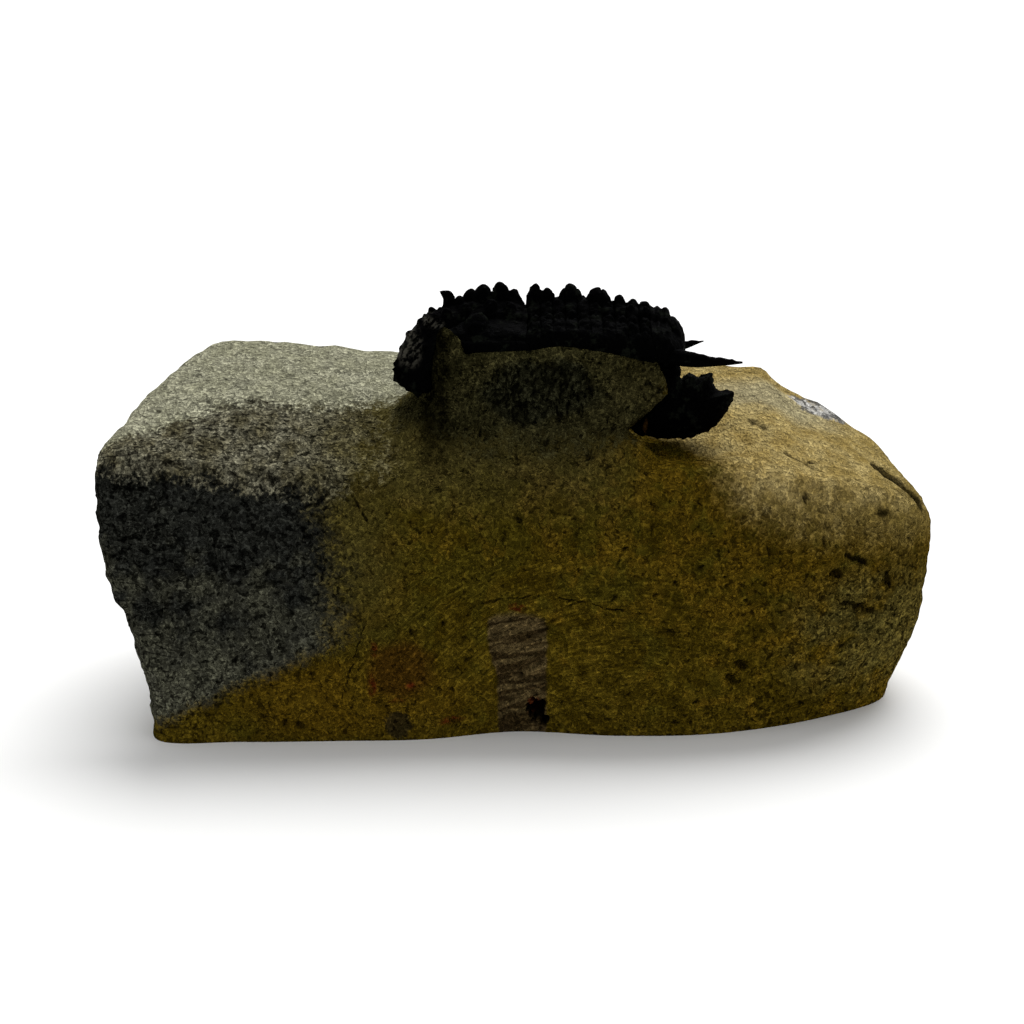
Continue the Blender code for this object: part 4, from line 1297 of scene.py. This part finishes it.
class FOSSIL_PG_stone(bpy.types.PropertyGroup):
    roughness: FloatProperty(name="Roughness", default=1.0, min=0, max=2, subtype="FACTOR",
                             description="Height of the broken and pecked surface")
    ochre: tint("Ochre", "Main colour of the front", (0.092, 0.063, 0.0060))
    ochre_dark: tint("Dark ochre", "Darker patches of the front", (0.048, 0.032, 0.0024))
    olive: tint("Olive", "Greener patches of the front", (0.060, 0.048, 0.0050))
    rust_tan: tint("Rusty tan", "Warmer patches of the front", (0.098, 0.056, 0.0042))
    dull: tint("Dull", "Rock next to the pedestal and the grey end", (0.076, 0.064, 0.0200))
    blush: tint("Blush", "Around the iron stains", (0.052, 0.024, 0.0030))
    rust: tint("Rust", "Iron stains", (0.066, 0.011, 0.003))
    stain: tint("Stain", "Dark spot at the foot of the front", (0.015, 0.012, 0.006))
    dust: tint("Dust", "Greyer patches at the right end", (0.082, 0.068, 0.018))
    grey: tint("Grey", "Left end of the front", (0.062, 0.062, 0.042))
    grey_mid: tint("Middle grey", "Middle patches of the left end", (0.034, 0.034, 0.025))
    grey_dark: tint("Dark grey", "Darker patches of the left end", (0.014, 0.015, 0.0135))
    # The band along the left end's front edge: its darker colours are painted shade of the rounded
    # edge.
    rubbed: tint("Rubbed", "Band along the left end's front edge", (0.150, 0.142, 0.098))
    rubbed_dark: tint("Dark rubbed", "Darker patches of that band", (0.070, 0.062, 0.034))
    # Colours of the pale top: partly the rock's bleached colour, partly painted light.
    cream: tint("Cream", "Top at the right", (0.42, 0.325, 0.132))
    cream_dark: tint("Dark cream", "Darker patches of the top at the right", (0.28, 0.200, 0.064))
    brink: tint("Brink", "Lower edge of the bleached right end", (0.165, 0.120, 0.030))
    pale: tint("Pale grey", "Top at the left", (0.34, 0.333, 0.236))
    pale_dark: tint("Shaded grey", "Darker patches of the top at the left", (0.26, 0.255, 0.172))
    # The pedestal's colours: its greener stone darkened with painted shade; the oval's colour is
    # deeper painted shade.
    pedestal: tint("Pedestal", "Stone under the animal", (0.034, 0.031, 0.012))
    pedestal_dark: tint("Dark pedestal", "Darker patches under the animal", (0.018, 0.017, 0.0065))
    oval: tint("Oval", "Shallow oval on the pedestal", (0.024, 0.024, 0.012))
    vein: tint("Vein", "Light bands of the vein", (0.088, 0.062, 0.026))
    vein_dark: tint("Dark vein", "Dark bands of the vein", (0.028, 0.018, 0.0080))
    broken: tint("Broken", "Freshly broken rock", (0.45, 0.44, 0.41))


class FOSSIL_PG_shell(bpy.types.PropertyGroup):
    grain: FloatProperty(name="Grain", default=0.30, min=0, max=1,
                         description="Height of the grains on the shell, in millimetres")
    black: tint("Black", "Main colour of the shell", (0.0004, 0.0004, 0.0005))
    brown: tint("Brown", "Worn grains of the shell", (0.0011, 0.0012, 0.0010))
    amber: tint("Amber", "Sliver on the second shield", (0.055, 0.026, 0.005))
    moss: tint("Moss", "Grey-green flecks", (0.028, 0.034, 0.022))
    worn: tint("Worn", "Worn patches on the front of the head", (0.085, 0.080, 0.062))


class FOSSIL_PG_stage(bpy.types.PropertyGroup):
    floor_colour: tint("Floor", "Colour of the floor", (0.90, 0.90, 0.89))
    sky: FloatProperty(name="Sky", description="Strength of the light from all sides",
                       default=0.62, min=0)
    sun: FloatProperty(name="Sun", description="Strength of the large soft light",
                       default=3.0, min=0)


class PieceOperator(bpy.types.Operator):
    bl_options = {"REGISTER", "UNDO"}


class FOSSIL_OT_stone(PieceOperator):
    """Build the limestone block with its pedestal"""
    bl_idname = "fossil.stone"
    bl_label = "Limestone block"

    def execute(self, context):
        limestone_block()
        return {"FINISHED"}


class FOSSIL_OT_head(PieceOperator):
    """Build the head shield"""
    bl_idname = "fossil.head"
    bl_label = "Head"

    def execute(self, context):
        head()
        return {"FINISHED"}


class FOSSIL_OT_thorax(PieceOperator):
    """Build the bands of the thorax"""
    bl_idname = "fossil.thorax"
    bl_label = "Thorax"

    def execute(self, context):
        for number in range(1, SEGMENTS + 1):
            thorax_band(number)
        return {"FINISHED"}


class FOSSIL_OT_tail(PieceOperator):
    """Build the tail shield with its spines"""
    bl_idname = "fossil.tail"
    bl_label = "Tail"

    def execute(self, context):
        tail()
        return {"FINISHED"}


class FOSSIL_OT_shield(PieceOperator):
    """Build the piece of a second shield"""
    bl_idname = "fossil.shield"
    bl_label = "Second shield"

    def execute(self, context):
        leaning_shield()
        return {"FINISHED"}


class FOSSIL_OT_stage(PieceOperator):
    """Lay the floor and set the lights and the camera"""
    bl_idname = "fossil.stage"
    bl_label = "Stage"

    def execute(self, context):
        stage()
        return {"FINISHED"}


class FOSSIL_PT_panel(bpy.types.Panel):
    bl_label = "Fossil"
    bl_idname = "FOSSIL_PT_panel"
    bl_space_type = "VIEW_3D"
    bl_region_type = "UI"
    bl_category = "Fossil"

    def draw(self, context):
        for operator in OPERATORS:
            self.layout.operator(operator.bl_idname)
        for settings in (stone_settings(), shell_settings(), stage_settings()):
            box = self.layout.box()
            for name in settings.__annotations__:
                box.prop(settings, name)


OPERATORS = (FOSSIL_OT_stone, FOSSIL_OT_head, FOSSIL_OT_thorax, FOSSIL_OT_tail,
             FOSSIL_OT_shield, FOSSIL_OT_stage)
GROUPS = {"fossil_stone": FOSSIL_PG_stone, "fossil_shell": FOSSIL_PG_shell,
          "fossil_stage": FOSSIL_PG_stage}

SUN_ANGLE = math.radians(50)
SUN_DIRECTION = Vector((-0.22, -0.72, -1.0))
CAMERA_LENS = 100.0
CAMERA_TARGET = Vector((0.0, -38.0, 44.02))
CAMERA_DISTANCE = 516.0
CAMERA_RISE = math.radians(14.5)
FLOOR_SIZE = 12.0


def stage():
    """The floor, the lights and the camera."""
    settings = stage_settings()
    bm = bmesh.new()
    bmesh.ops.create_grid(bm, x_segments=2, y_segments=2, size=FLOOR_SIZE)
    mesh = bpy.data.meshes.new("floor")
    bm.to_mesh(mesh)
    bm.free()
    mesh.materials.append(floor_material())
    floor = bpy.data.objects.new("floor", mesh)
    bpy.context.scene.collection.objects.link(floor)

    world = bpy.data.worlds.new("studio")
    world.use_nodes = True
    bpy.context.scene.world = world
    sky = world.node_tree.nodes["Background"]
    sky.inputs["Color"].default_value = (1, 1, 1, 1)
    sky.inputs["Strength"].default_value = settings.sky

    lamp = bpy.data.lights.new("soft_sun", "SUN")
    lamp.energy = settings.sun
    lamp.angle = SUN_ANGLE
    sun = bpy.data.objects.new("soft_sun", lamp)
    bpy.context.scene.collection.objects.link(sun)
    sun.rotation_euler = SUN_DIRECTION.to_track_quat("-Z", "Y").to_euler()

    lens = bpy.data.cameras.new("camera")
    lens.lens = CAMERA_LENS
    lens.clip_start = 0.01
    lens.clip_end = 100
    camera = bpy.data.objects.new("camera", lens)
    bpy.context.scene.collection.objects.link(camera)
    back = Vector((0, -math.cos(CAMERA_RISE), math.sin(CAMERA_RISE)))
    camera.location = (CAMERA_TARGET + frame_shift() + back * CAMERA_DISTANCE) * MM
    camera.rotation_euler = (-back).to_track_quat("-Z", "Y").to_euler()
    bpy.context.scene.camera = camera
    bpy.context.scene.view_settings.view_transform = "Standard"


def register():
    """Add the classes, and their settings to the scene."""
    for cls in (*GROUPS.values(), *OPERATORS, FOSSIL_PT_panel):
        bpy.utils.register_class(cls)
    for name, group in GROUPS.items():
        setattr(bpy.types.Scene, name, PointerProperty(type=group))


def unregister():
    """Take the settings and the classes away again."""
    for name in GROUPS:
        delattr(bpy.types.Scene, name)
    for cls in (FOSSIL_PT_panel, *reversed(OPERATORS), *GROUPS.values()):
        bpy.utils.unregister_class(cls)


def main():
    """Build every piece and the stage."""
    register()
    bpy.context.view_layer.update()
    bpy.ops.fossil.stone()
    bpy.ops.fossil.head()
    bpy.ops.fossil.thorax()
    bpy.ops.fossil.tail()
    bpy.ops.fossil.shield()
    bpy.ops.fossil.stage()


if __name__ == "__main__":
    main()
